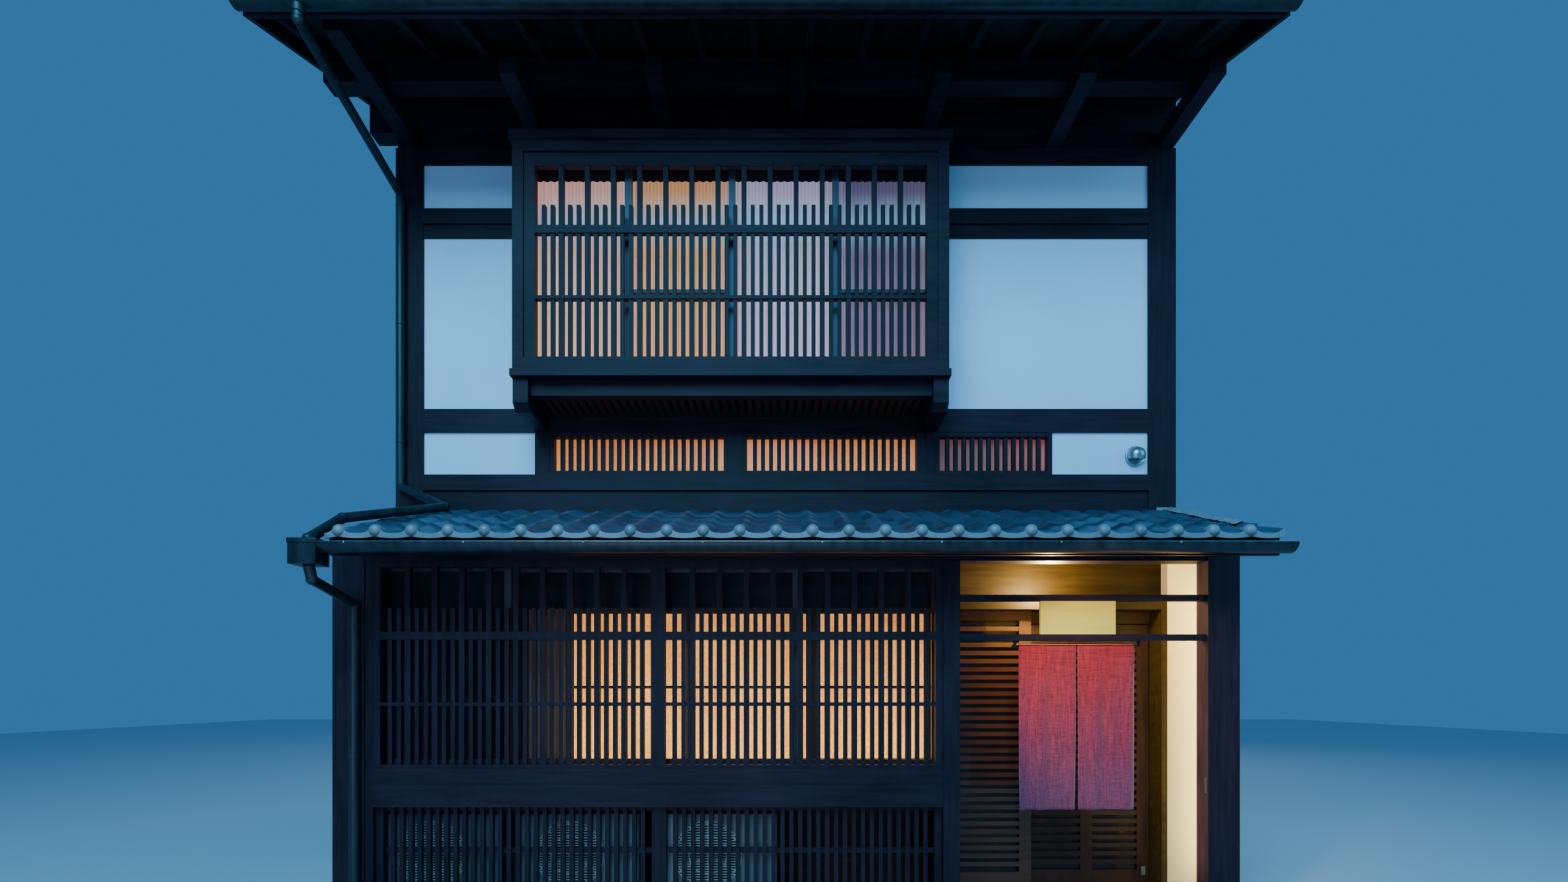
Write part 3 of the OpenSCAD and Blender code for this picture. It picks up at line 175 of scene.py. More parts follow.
# Numbers and colours are set on the sockets, and node outputs are linked to them
def mixed(tree, factor, first, second, blend="MIX"):
    mix = add_node(tree, "ShaderNodeMix", data_type="RGBA", blend_type=blend)
    for socket, value in (("Factor", factor), ("A", first), ("B", second)):
        if isinstance(value, tuple):
            mix.inputs[socket].default_value = (*value, 1)
        elif isinstance(value, float):
            mix.inputs[socket].default_value = value
        else:
            tree.links.new(value, mix.inputs[socket])
    return mix.outputs["Result"]


def weighed(tree, first, second, share):
    rest = add_node(tree, "ShaderNodeMath", operation="MULTIPLY", in_1=1 - share)
    both = add_node(tree, "ShaderNodeMath", operation="MULTIPLY_ADD", in_1=share)
    tree.links.new(second, rest.inputs[0])
    tree.links.new(first, both.inputs[0])
    tree.links.new(rest.outputs["Value"], both.inputs[2])
    return both.outputs["Value"]


def noise(tree, place, scale, detail, **values):
    texture = add_node(tree, "ShaderNodeTexNoise", in_Scale=scale, in_Detail=detail, **values)
    tree.links.new(place, texture.inputs["Vector"])
    return texture.outputs["Fac"]


def stretched(tree, place, scale):
    stretch = add_node(tree, "ShaderNodeMapping")
    tree.links.new(place, stretch.inputs["Vector"])
    if isinstance(scale, tuple):
        stretch.inputs["Scale"].default_value = scale
    else:
        tree.links.new(scale, stretch.inputs["Scale"])
    return stretch.outputs["Vector"]


def new_finish(name):
    finish = bpy.data.materials.new(name)
    finish.use_nodes = True
    return finish, finish.node_tree, finish.node_tree.nodes["Principled BSDF"]


def object_place(tree):
    return add_node(tree, "ShaderNodeTexCoord").outputs["Object"]


def split_axes(tree, place):
    axes = add_node(tree, "ShaderNodeSeparateXYZ")
    tree.links.new(place, axes.inputs["Vector"])
    return axes.outputs


def wire_surface(tree, surface, height, strength, distance, **values):
    relief = add_node(tree, "ShaderNodeBump", in_Strength=strength, in_Distance=distance)
    tree.links.new(height, relief.inputs["Height"])
    tree.links.new(relief.outputs["Normal"], surface.inputs["Normal"])
    for label, value in values.items():
        socket = surface.inputs[label.replace("_", " ").title()]
        if isinstance(value, bpy.types.NodeSocket):
            tree.links.new(value, socket)
        else:
            socket.default_value = (*value, 1) if isinstance(value, tuple) else value


def wood_grain_group():
    group, start, end = new_group(
        "wood_grain",
        [
            ("Dark", "NodeSocketColor", (0.01, 0.01, 0.01, 1)),
            ("Light", "NodeSocketColor", (0.05, 0.05, 0.05, 1)),
            ("Grain Along", "NodeSocketVector", (1.0, 1.0, 1.0)),
            ("Roughness", "NodeSocketFloat", 0.6),
        ],
        [("Color", "NodeSocketColor"), ("Roughness", "NodeSocketFloat"), ("Height", "NodeSocketFloat")],
    )
    place = object_place(group)
    along = stretched(group, place, start.outputs["Grain Along"])
    fibres = noise(group, along, 26.0, 7.0, in_Roughness=0.62)
    patches = noise(group, place, 1.7, 3.0)
    spread = ramp_between(group, weighed(group, fibres, patches, 0.65), 0.32, 0.68)
    colour = mixed(group, spread, start.outputs["Dark"], start.outputs["Light"])
    rough = add_node(group, "ShaderNodeMath", operation="MULTIPLY_ADD", in_1=0.22)
    link = group.links.new
    link(colour, end.inputs["Color"])
    link(fibres, rough.inputs[0])
    link(start.outputs["Roughness"], rough.inputs[2])
    link(rough.outputs["Value"], end.inputs["Roughness"])
    link(fibres, end.inputs["Height"])
    return group


wood_grain = wood_grain_group()


def timber(name, dark, light, along, roughness=0.45, bump=0.25, coat=0.0):
    finish, tree, surface = new_finish(name)
    grain = add_node(tree, "ShaderNodeGroup", node_tree=wood_grain, in_Dark=(*dark, 1), in_Light=(*light, 1),
                     in_Grain_Along=along, in_Roughness=roughness)
    wire_surface(tree, surface, grain.outputs["Height"], bump, 0.004, Base_Color=grain.outputs["Color"],
                 Roughness=grain.outputs["Roughness"], Coat_Weight=coat)
    surface.inputs["Specular IOR Level"].default_value = 0.2
    return finish


def finish_node(name, finish):
    mesh = nodes[name].data
    mesh.materials.clear()
    mesh.materials.append(finish)


# Shared steps of the pieces
# Each new piece starts with nothing selected, is built from plain solids and grids, and ends in
# take_piece, which names it and gives it its finish and body.
ALONG_X = (0, math.pi / 2, 0)
ALONG_Y = (math.pi / 2, 0, 0)


def start_piece():
    bpy.ops.object.select_all(action="DESELECT")


def apply_transform():
    bpy.ops.object.transform_apply(location=True, rotation=True, scale=True)


def take_piece(name, finish, slot, *replaced, body="house"):
    piece = bpy.context.object
    piece.name = name
    piece.data.name = name
    apply_transform()
    piece.data.materials.clear()
    piece.data.materials.append(finish)
    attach(piece, body)
    if replaced:
        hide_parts(*replaced)


def add_modifier(piece, kind, **values):
    modifier = piece.modifiers.new(kind.lower(), kind)
    for label, value in values.items():
        setattr(modifier, label, value)
    bpy.ops.object.modifier_apply(modifier=modifier.name)


def repeat(piece, count, step):
    add_modifier(piece, "ARRAY", count=count, use_relative_offset=False, use_constant_offset=True,
                 constant_offset_displace=step)


def edit_all(*steps):
    bpy.ops.object.mode_set(mode="EDIT")
    for operator, values in steps:
        bpy.ops.mesh.select_all(action="SELECT")
        operator(**values)
    bpy.ops.object.mode_set(mode="OBJECT")


def bevel_edges(offset, segments=2):
    edit_all((bpy.ops.mesh.bevel, {"offset": offset, "segments": segments}))


def cut(plane_co, plane_no, **values):
    return bpy.ops.mesh.bisect, {"plane_co": plane_co, "plane_no": plane_no, **values}


def cut_sides(left, right):
    edit_all(cut((left, 0, 0), (1, 0, 0), use_fill=True, clear_inner=True),
             cut((right, 0, 0), (1, 0, 0), use_fill=True, clear_outer=True))


def join_parts(parts):
    start_piece()
    for part in parts:
        part.select_set(True)
    bpy.context.view_layer.objects.active = parts[0]
    bpy.ops.object.join()


def add_box(size, place, turn=(0, 0, 0)):
    bpy.ops.mesh.primitive_cube_add(size=1, location=place)
    box = bpy.context.object
    box.scale = size
    box.rotation_euler = turn
    apply_transform()
    return box


def add_rod(radius, length, place, turn, vertices):
    bpy.ops.mesh.primitive_cylinder_add(vertices=vertices, radius=radius, depth=length, location=place,
                                        rotation=turn)
    apply_transform()
    return bpy.context.object


def add_ball(radius, place, segments, rings, turn=(0, 0, 0)):
    bpy.ops.mesh.primitive_uv_sphere_add(segments=segments, ring_count=rings, radius=radius, location=place,
                                         rotation=turn)
    return bpy.context.object


def smooth_edges(degrees):
    bpy.ops.object.shade_smooth_by_angle(angle=math.radians(degrees))


def grid_sheet(x0, x1, y, z0, z1, across, up):
    start_piece()
    bpy.ops.mesh.primitive_grid_add(x_subdivisions=across, y_subdivisions=up, size=1)
    piece = bpy.context.object
    for point in piece.data.vertices:
        point.co = (x0 + (point.co.x + 0.5) * (x1 - x0), y, z0 + (point.co.y + 0.5) * (z1 - z0))
    return piece


# Dark timber frame
# The posts, beams and lattices are cedar and cypress, stained near black with iron red and soot.
# The grain runs with the length of each timber.
GRAIN_UPRIGHT = (1.0, 1.0, 0.09)
GRAIN_LEVEL = (0.09, 1.0, 1.0)
GRAIN_INWARD = (1.0, 0.09, 1.0)
black_post = timber("black_stained_post", (0.003, 0.0028, 0.0055), (0.029, 0.0138, 0.027), GRAIN_UPRIGHT)
black_beam = timber("black_stained_beam", (0.003, 0.0028, 0.0055), (0.030, 0.0142, 0.028), GRAIN_LEVEL)
brown_board = timber("oiled_brown_board", (0.035, 0.018, 0.010), (0.12, 0.062, 0.030), GRAIN_LEVEL)
brown_rafter = timber("smoked_rafter", (0.008, 0.008, 0.010), (0.030, 0.028, 0.030), GRAIN_INWARD)

for name in ("ground_posts", "upper_posts", "ground_lattice_left", "ground_lattice_right",
             "lower_lattice_left", "lower_lattice_right", "bay_lattice", "low_windows"):
    finish_node(name, black_post)
for name in ("koshi_beam", "front_beam", "upper_beams", "bay_frame", "bay_sill", "eave_purlin",
             "entrance_bars", "eave_boards", "noren_rod", "ridge_beam", "rear_frames"):
    finish_node(name, black_beam)
for name in ("front_rafters", "rear_rafters", "pent_rafters", "main_deck", "pent_deck"):
    finish_node(name, brown_rafter)
for name in ("entrance_side_wall", "niche_wall", "ground_floor", "upper_floor"):
    finish_node(name, brown_board)
entrance_board = timber("entrance_board", (0.011, 0.0075, 0.0014), (0.036, 0.024, 0.0034), GRAIN_LEVEL)
finish_node("entrance_frame", entrance_board)


# Plaster and stone
# White lime plaster fills the frame. Its colour is tinted blue, painted evening light, and on the side of
# the porch it is warmed to cream, painted lamp light. The party walls have a plain grey render, and the
# kerb is stone.
def mineral(name, dark, light, scale, roughness, bump, painted_lamp_tint=None):
    finish, tree, surface = new_finish(name)
    place = object_place(tree)
    fine = noise(tree, place, scale, 8.0)
    broad = noise(tree, place, scale * 0.03, 4.0)
    colour = mixed(tree, weighed(tree, fine, broad, 0.3), dark, light)
    # Painted lamp light: in front of the wall face, on the porch side, the colour is multiplied by a warm
    # tint
    if painted_lamp_tint is not None:
        painted_lamp_mask = add_node(tree, "ShaderNodeMath", operation="LESS_THAN", in_1=wall_face_y - 0.1)
        tree.links.new(split_axes(tree, place)["Y"], painted_lamp_mask.inputs[0])
        colour = mixed(tree, painted_lamp_mask.outputs["Value"], colour, painted_lamp_tint, "MULTIPLY")
    wire_surface(tree, surface, fine, bump, 0.003, Base_Color=colour, Roughness=roughness)
    return finish


# The blue in this plaster's colour is painted evening light, and the porch tint is painted lamp light
plaster_painted_light = mineral("plaster_painted_light", (0.50, 0.65, 0.82), (0.64, 0.82, 1.0), 60.0, 0.75, 0.10,
                       painted_lamp_tint=(1.45, 1.06, 0.46))
grey_render = mineral("grey_render", (0.20, 0.20, 0.21), (0.34, 0.34, 0.35), 45.0, 0.85, 0.25)
kerb_stone = mineral("kerb_stone", (0.16, 0.16, 0.165), (0.34, 0.34, 0.345), 90.0, 0.8, 0.35)
finish_node("plaster_panels", plaster_painted_light)
finish_node("rear_wall", plaster_painted_light)
finish_node("left_party_wall", grey_render)
finish_node("right_party_wall", grey_render)
finish_node("base_stones", kerb_stone)

# Windows
# Clear float glass, dark from outside, in the sashes of the front and in the sliding door.
window_glass, _, glass_surface = new_finish("window_glass")
glass_surface.inputs["Base Color"].default_value = (0.03, 0.04, 0.05, 1)
glass_surface.inputs["Roughness"].default_value = 0.02
glass_surface.inputs["IOR"].default_value = 1.45
glass_surface.inputs["Alpha"].default_value = 0.16
finish_node("window_glass", window_glass)
finish_node("sliding_glass", window_glass)

# Pent roof tiles
# Grey smoke-fired clay pantiles in five courses, each with a roll on one side that laps the
# next tile. They are bedded on battens and tied, and end in round bosses over a curved drop.
TILE_PITCH = 0.2182
TILE_WAVE = 0.016
TILE_THICKNESS = 0.015
TILE_COLUMNS = 12
TILE_LAP = 0.05
TILE_TILT = 0.021
BOSS_RADIUS = 0.040
PENT_RISE = 0.40
PENT_COURSES = 5
PENT_FIRST_ROLL = -2.679
PENT_EAVE_LIFT = 0.024
PENT_BOSSES = 26
BOSS_LIFT = 0.047
BOSS_OUT = 0.004
BOSS_NECK = 0.07
DROP_TUCK = 0.003
DROP_CURVE = 0.012
DROP_THICKNESS = 0.014


def roll_height(across):
    turn = math.tau * across
    return TILE_WAVE * (math.cos(turn) + 0.28 * math.cos(2 * turn))


def lay_tiles(name, node_name, corners, eave, rise, depth, courses, first_roll, columns, inward=1):
    start_piece()
    exposed = depth / courses
    bpy.ops.mesh.primitive_grid_add(x_subdivisions=TILE_COLUMNS, y_subdivisions=1, size=1)
    piece = bpy.context.object
    for point in piece.data.vertices:
        across = point.co.x + 0.5
        back = point.co.y + 0.5
        y = back * (exposed + TILE_LAP)
        z = roll_height(across) + y * rise + TILE_TILT * (1 - back)
        point.co = (first_roll + across * TILE_PITCH, eave[0] + inward * y, eave[1] + z)
    if inward < 0:
        edit_all((bpy.ops.mesh.flip_normals, {}))
    add_modifier(piece, "SOLIDIFY", thickness=TILE_THICKNESS, offset=-1)
    repeat(piece, columns, (TILE_PITCH, 0, 0))
    repeat(piece, courses, (0, inward * exposed, exposed * rise))
    cut_sides(corners[0].x, corners[1].x)
    take_piece(name, smoked_clay, "roof_tile", node_name)


def tile_tone_group():
    group, start, end = new_group(
        "tile_tone",
        [("Step", "NodeSocketVector", (1 / TILE_PITCH, 4.5, 1.0))],
        [("Tone", "NodeSocketFloat"), ("Height", "NodeSocketFloat")],
    )
    place = object_place(group)
    steps = add_node(group, "ShaderNodeVectorMath", operation="MULTIPLY")
    whole = add_node(group, "ShaderNodeVectorMath", operation="FLOOR")
    flat = add_node(group, "ShaderNodeVectorMath", operation="MULTIPLY", in_1=(1, 1, 0))
    chance = add_node(group, "ShaderNodeTexWhiteNoise", noise_dimensions="3D")
    link = group.links.new
    link(place, steps.inputs[0])
    link(start.outputs["Step"], steps.inputs[1])
    link(steps.outputs["Vector"], whole.inputs[0])
    link(whole.outputs["Vector"], flat.inputs[0])
    link(flat.outputs["Vector"], chance.inputs["Vector"])
    link(weighed(group, chance.outputs["Value"], noise(group, place, 9.0, 6.0), 0.5), end.inputs["Tone"])
    link(noise(group, place, 220.0, 3.0), end.inputs["Height"])
    return group


tile_tone = tile_tone_group()


def fired_clay(name, dark, light, roughness):
    finish, tree, surface = new_finish(name)
    tone = add_node(tree, "ShaderNodeGroup", node_tree=tile_tone)
    spread = tone.outputs["Tone"]
    wire_surface(tree, surface, tone.outputs["Height"], 0.3, 0.001, Metallic=0.15,
                 Base_Color=mixed(tree, spread, dark, light),
                 Roughness=ramp_between(tree, spread, 0.0, 1.0, roughness - 0.08, roughness + 0.14))
    return finish


smoked_clay = fired_clay("smoked_clay", (0.012, 0.032, 0.056), (0.052, 0.112, 0.180), 0.33)
# A paler copy of the same clay, painted light, for the drops and bosses that face the street
clay_painted_light = fired_clay("smoked_clay_painted_light", (0.16, 0.18, 0.21), (0.27, 0.29, 0.32), 0.42)

pent_low, pent_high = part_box("pent_tiles")
pent_roll_x = house_mid_x + PENT_FIRST_ROLL
pent_eave_z = pent_low.z + PENT_EAVE_LIFT
pent_columns = math.ceil((pent_high.x - pent_roll_x) / TILE_PITCH) + 1
lay_tiles("pent_roof_tiles", "pent_tiles", (pent_low, pent_high), (pent_low.y, pent_eave_z), PENT_RISE,
          pent_high.y - pent_low.y - TILE_LAP, PENT_COURSES, pent_roll_x - TILE_PITCH, pent_columns + 1)


# Eave tiles of the pent roof
# The lowest course ends in a curved drop between round bosses, moulded in one with the tile. Drops and
# bosses take a paler copy of the tile clay, painted light where they face the street.
def make_drops(name, left, right, front, first_roll, wave_z, low_z, inward, node_name):
    start_piece()
    bpy.ops.mesh.primitive_grid_add(x_subdivisions=TILE_COLUMNS, y_subdivisions=1, size=1)
    piece = bpy.context.object
    for point in piece.data.vertices:
        across = point.co.x + 0.5
        upper = wave_z + roll_height(across) + TILE_TILT - DROP_TUCK
        lower = low_z + DROP_CURVE * (2 * across - 1) ** 2
        point.co = (first_roll + across * TILE_PITCH, front, upper if point.co.y > 0 else lower)
    add_modifier(piece, "SOLIDIFY", thickness=DROP_THICKNESS, offset=-inward)
    repeat(piece, math.ceil((right - first_roll) / TILE_PITCH) + 1, (TILE_PITCH, 0, 0))
    cut_sides(left, right)
    edit_all((bpy.ops.mesh.normals_make_consistent, {"inside": False}))
    take_piece(name, clay_painted_light, "roof_tile", node_name)


def make_bosses(name, first_roll, count, front, z, outward, node_name):
    start_piece()
    ball = add_ball(BOSS_RADIUS, (first_roll, front, z), 20, 12, ALONG_Y)
    neck_place = (first_roll, front - outward * BOSS_NECK / 2, z)
    neck = add_rod(BOSS_RADIUS * 0.9, BOSS_NECK, neck_place, ALONG_Y, 20)
    bevel_edges(0.004)
    join_parts([ball, neck])
    repeat(ball, count, (TILE_PITCH, 0, 0))
    smooth_edges(40)
    take_piece(name, clay_painted_light, "roof_tile", node_name)


make_drops("pent_eave_drops", pent_low.x, pent_high.x, pent_low.y, pent_roll_x - TILE_PITCH, pent_eave_z,
           pent_low.z, -1, "pent_tiles")
make_bosses("pent_eave_bosses", pent_roll_x, PENT_BOSSES, pent_low.y + BOSS_OUT, pent_low.z + BOSS_LIFT, -1,
            "pent_tiles")

# Main roof tiles
# The same pantiles cover both slopes over boarding, with bosses along both eaves.
MAIN_RISE = 0.45
MAIN_EAVE_LIFT = 0.034
MAIN_ROLL_BACK = 0.08
FRONT_COURSES = 19
REAR_COURSES = 17
roof_low, roof_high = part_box("main_tiles")
ridge_low, ridge_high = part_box("roof_ridge")
ridge_y = (ridge_low.y + ridge_high.y) / 2
roof_roll_x = roof_low.x - MAIN_ROLL_BACK
roof_columns = math.ceil((roof_high.x - roof_roll_x) / TILE_PITCH) + 1
roof_eave_z = roof_low.z + MAIN_EAVE_LIFT
front_depth = ridge_y - roof_low.y - TILE_LAP
rear_depth = roof_high.y - ridge_y - TILE_LAP
rear_eave_z = roof_eave_z + (front_depth - rear_depth) * MAIN_RISE
rear_low_z = rear_eave_z - MAIN_EAVE_LIFT

lay_tiles("main_roof_front_tiles", "main_tiles", (roof_low, roof_high), (roof_low.y, roof_eave_z), MAIN_RISE,
          front_depth, FRONT_COURSES, roof_roll_x, roof_columns)
lay_tiles("main_roof_rear_tiles", "main_tiles", (roof_low, roof_high), (roof_high.y, rear_eave_z), MAIN_RISE,
          rear_depth, REAR_COURSES, roof_roll_x, roof_columns, inward=-1)
make_drops("main_front_drops", roof_low.x, roof_high.x, roof_low.y, roof_roll_x, roof_eave_z,
           roof_low.z, -1, "main_tiles")
make_drops("main_rear_drops", roof_low.x, roof_high.x, roof_high.y, roof_roll_x, rear_eave_z,
           rear_low_z, 1, "main_tiles")
make_bosses("main_front_bosses", roof_roll_x + TILE_PITCH, roof_columns - 2, roof_low.y + BOSS_OUT,
            roof_low.z + BOSS_LIFT, -1, "main_tiles")
make_bosses("main_rear_bosses", roof_roll_x + TILE_PITCH, roof_columns - 2, roof_high.y - BOSS_OUT,
            rear_low_z + BOSS_LIFT, 1, "main_tiles")

# Bedding under the tiles
# A dark bed of earth and battens fills between the boarding and the tiles, so no light shows.
BED_SIDE_GAP = 0.004
BED_START = 0.03
BED_FOOT = 0.002
BED_TOP = 0.022


def make_bed(name, node_name, corners, eave_y, eave_z, rise, run, inward):
    start_piece()
    bpy.ops.mesh.primitive_cube_add(size=1)
    for point in bpy.context.object.data.vertices:
        x = corners[0].x + BED_SIDE_GAP if point.co.x < 0 else corners[1].x - BED_SIDE_GAP
        back = BED_START if point.co.y < 0 else run
        z = eave_z + back * rise + (BED_FOOT if point.co.z < 0 else BED_TOP)
        point.co = (x, eave_y + inward * back, z)
    edit_all((bpy.ops.mesh.normals_make_consistent, {"inside": False}),
             (bpy.ops.mesh.bevel, {"offset": 0.002, "segments": 1}))
    take_piece(name, smoked_clay, "roof_tile", node_name)


make_bed("pent_tile_bed", "pent_tiles", (pent_low, pent_high), pent_low.y, pent_low.z, PENT_RISE,
         pent_high.y - pent_low.y, 1)
make_bed("front_tile_bed", "main_tiles", (roof_low, roof_high), roof_low.y, roof_low.z, MAIN_RISE,
         ridge_y - roof_low.y, 1)
make_bed("rear_tile_bed", "main_tiles", (roof_low, roof_high), roof_high.y, rear_low_z, MAIN_RISE,
         roof_high.y - ridge_y, -1)

# Ridge
# Flat ridge tiles are laid in stepped courses in mortar, under a row of half-round cap tiles.
RIDGE_COURSES = 5
RIDGE_CAP_RADIUS = 0.075
RIDGE_CAP_LENGTH = 0.245
RIDGE_STEP_IN = 0.016
RIDGE_COLLAR = 0.05


def stepped_ridge():
    start_piece()
    top = ridge_high.z - RIDGE_CAP_RADIUS
    length = ridge_high.x - ridge_low.x
    middle_x = (ridge_low.x + ridge_high.x) / 2
    step = (top - ridge_low.z) / RIDGE_COURSES
    parts = []
    for course in range(RIDGE_COURSES):
        width = (ridge_high.y - ridge_low.y) - course * RIDGE_STEP_IN
        foot = ridge_low.z + course * step
        for share, lift, inset in ((0.55, 0.0, 0.0), (0.45, 0.55, 0.03)):
            z = foot + step * (lift + share / 2)
            parts.append(add_box((length - inset, width - inset, step * share), (middle_x, ridge_y, z)))
            bevel_edges(0.003)
    caps = int(length / RIDGE_CAP_LENGTH)
    cap_length = length / caps
    for radius, size in ((RIDGE_CAP_RADIUS - 0.006, cap_length), (RIDGE_CAP_RADIUS, RIDGE_COLLAR)):
        cap = add_rod(radius, size, (ridge_low.x + size / 2, ridge_y, top), ALONG_X, 24)
        repeat(cap, caps, (cap_length, 0, 0))
        parts.append(cap)
    join_parts(parts)
    smooth_edges(35)
    take_piece("ridge_courses", smoked_clay, "roof_tile", "roof_ridge")


stepped_ridge()


# Lit paper screens
# Handmade paper is pasted on the frames of three sliding screens. No lamp stands behind them: the light of
# the room is painted into the paper as an emission glow, brighter low down. Paper of the same kind closes
# the low windows over the pent roof, painted with a dim red glow at the right. The three papers keep the
# name that a grid starts with.
def lit_paper(name, dim, bright, low_z, high_z, strength, red_from=None):
    finish, tree, surface = new_finish(name)
    place = object_place(tree)
    axes = split_axes(tree, place)
    fibres = noise(tree, place, 70.0, 6.0)
    # Painted light: the glow grows brighter towards low_z, as from a lamp below, with soft patches and fibres
    height = ramp_between(tree, axes["Z"], high_z, low_z)
    patch = ramp_between(tree, noise(tree, place, 2.2, 2.0), 0.3, 0.7)
    glow = mixed(tree, mixed(tree, 0.35, height, patch), dim, bright)
    threads = ramp_between(tree, fibres, 0.25, 0.6)
    shaded = mixed(tree, threads, tuple(0.82 * c for c in bright), (1.0, 1.0, 1.0))
    glow = mixed(tree, 1.0, glow, shaded, "MULTIPLY")
    # Beyond red_from the glow is painted a dim red, the light of another room
    if red_from is not None:
        beyond = ramp_between(tree, axes["X"], red_from, red_from + 0.01)
        glow = mixed(tree, beyond, glow, mixed(tree, patch, (0.04, 0.015, 0.03), (0.20, 0.030, 0.04)))
    wire_surface(tree, surface, fibres, 0.15, 0.001, Base_Color=(0.55, 0.42, 0.27), Roughness=0.9,
                 Emission_Color=glow, Emission_Strength=strength)
    return finish


SHOJI_COUNT = 3
SHOJI_STILE = 0.038
PAPER_INSET = 0.0145
PAPER_THICKNESS = 0.0008
shoji_low, shoji_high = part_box("ground_shoji")
screen_paper = lit_paper("screen_paper", (0.36, 0.12, 0.025), (1.0, 0.47, 0.045), 1.25, 2.2, 3.5)
shoji_step = (shoji_high.x - shoji_low.x) / SHOJI_COUNT
for number in range(SHOJI_COUNT):
    paper_left = shoji_low.x + number * shoji_step + SHOJI_STILE
    paper = grid_sheet(paper_left, paper_left + shoji_step - 2 * SHOJI_STILE, shoji_low.y + PAPER_INSET,
                       shoji_low.z + SHOJI_STILE, shoji_high.z - SHOJI_STILE, 8, 10)
    add_modifier(paper, "SOLIDIFY", thickness=PAPER_THICKNESS, offset=0)
    take_piece(paper.name, screen_paper, "shoji")
shoji_frame = timber("screen_frame", (0.10, 0.06, 0.035), (0.24, 0.16, 0.09), GRAIN_UPRIGHT)
finish_node("ground_shoji", shoji_frame)

# Reed blind
# A blind of split reeds, tied with thread, hangs behind the sash at the left of the paper screens. The
# reeds carry a faint painted glow of the lit room behind them.
REED_RADIUS = 0.003
REED_STEP = 0.0075
BLIND_WIDTH = 0.26
BLIND_GAP = 0.006
BLIND_INSET = 0.012
BLIND_FOOT = 0.002


def reed_blind():
    start_piece()
    foot = (shoji_low.x - BLIND_WIDTH / 2 - BLIND_GAP, shoji_low.y + BLIND_INSET,
            shoji_low.z + REED_RADIUS + BLIND_FOOT)
    reed = add_rod(REED_RADIUS, BLIND_WIDTH, foot, ALONG_X, 8)
    repeat(reed, int((shoji_high.z - shoji_low.z) / REED_STEP) - 1, (0, 0, REED_STEP))
    smooth_edges(50)
    take_piece("reed_blind", reed_painted_glow, "curtain")


# The reeds glow faintly: painted light of the room behind them
reed_painted_glow = lit_paper("split_reed", (0.10, 0.05, 0.03), (0.24, 0.12, 0.07), 1.0, 2.2, 0.10)
reed_blind()

RED_ROOM_X = 1.10
low_paper_glow = lit_paper("low_window_paper", (0.50, 0.11, 0.025), (1.0, 0.42, 0.08), 3.25, 3.62, 1.6,
                           house_mid_x + RED_ROOM_X)
finish_node("low_papers", low_paper_glow)

# Bay curtain
# A thin pleated curtain hangs from a dark head rail behind the sashes. The room light behind it is painted
# into the cloth as an emission glow.
CURTAIN_PLEAT = 0.052
CURTAIN_DEPTH = 0.006
PLEAT_STEPS = 8
CURTAIN_SIDE_GAP = 0.01
CURTAIN_FOOT_GAP = 0.012
CURTAIN_HEAD = 0.12
CURTAIN_THICKNESS = 0.0008
curtain_low, curtain_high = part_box("bay_curtain")
curtain_top = curtain_high.z - CURTAIN_HEAD
curtain_foot = curtain_low.z + CURTAIN_FOOT_GAP
curtain_left = curtain_low.x + CURTAIN_SIDE_GAP
curtain_right = curtain_high.x - CURTAIN_SIDE_GAP
curtain_width = curtain_right - curtain_left
pleats = round(curtain_width / CURTAIN_PLEAT)
bay_curtain = grid_sheet(curtain_left, curtain_right, (curtain_low.y + curtain_high.y) / 2, curtain_foot,
                         curtain_top, pleats * PLEAT_STEPS, 6)
for point in bay_curtain.data.vertices:
    turn = math.tau * pleats * (point.co.x - curtain_left) / curtain_width
    point.co.y += CURTAIN_DEPTH * math.sin(turn) * (0.8 + 0.2 * math.sin(turn * 0.13))
add_modifier(bay_curtain, "SOLIDIFY", thickness=CURTAIN_THICKNESS, offset=0)
bpy.ops.object.shade_smooth()


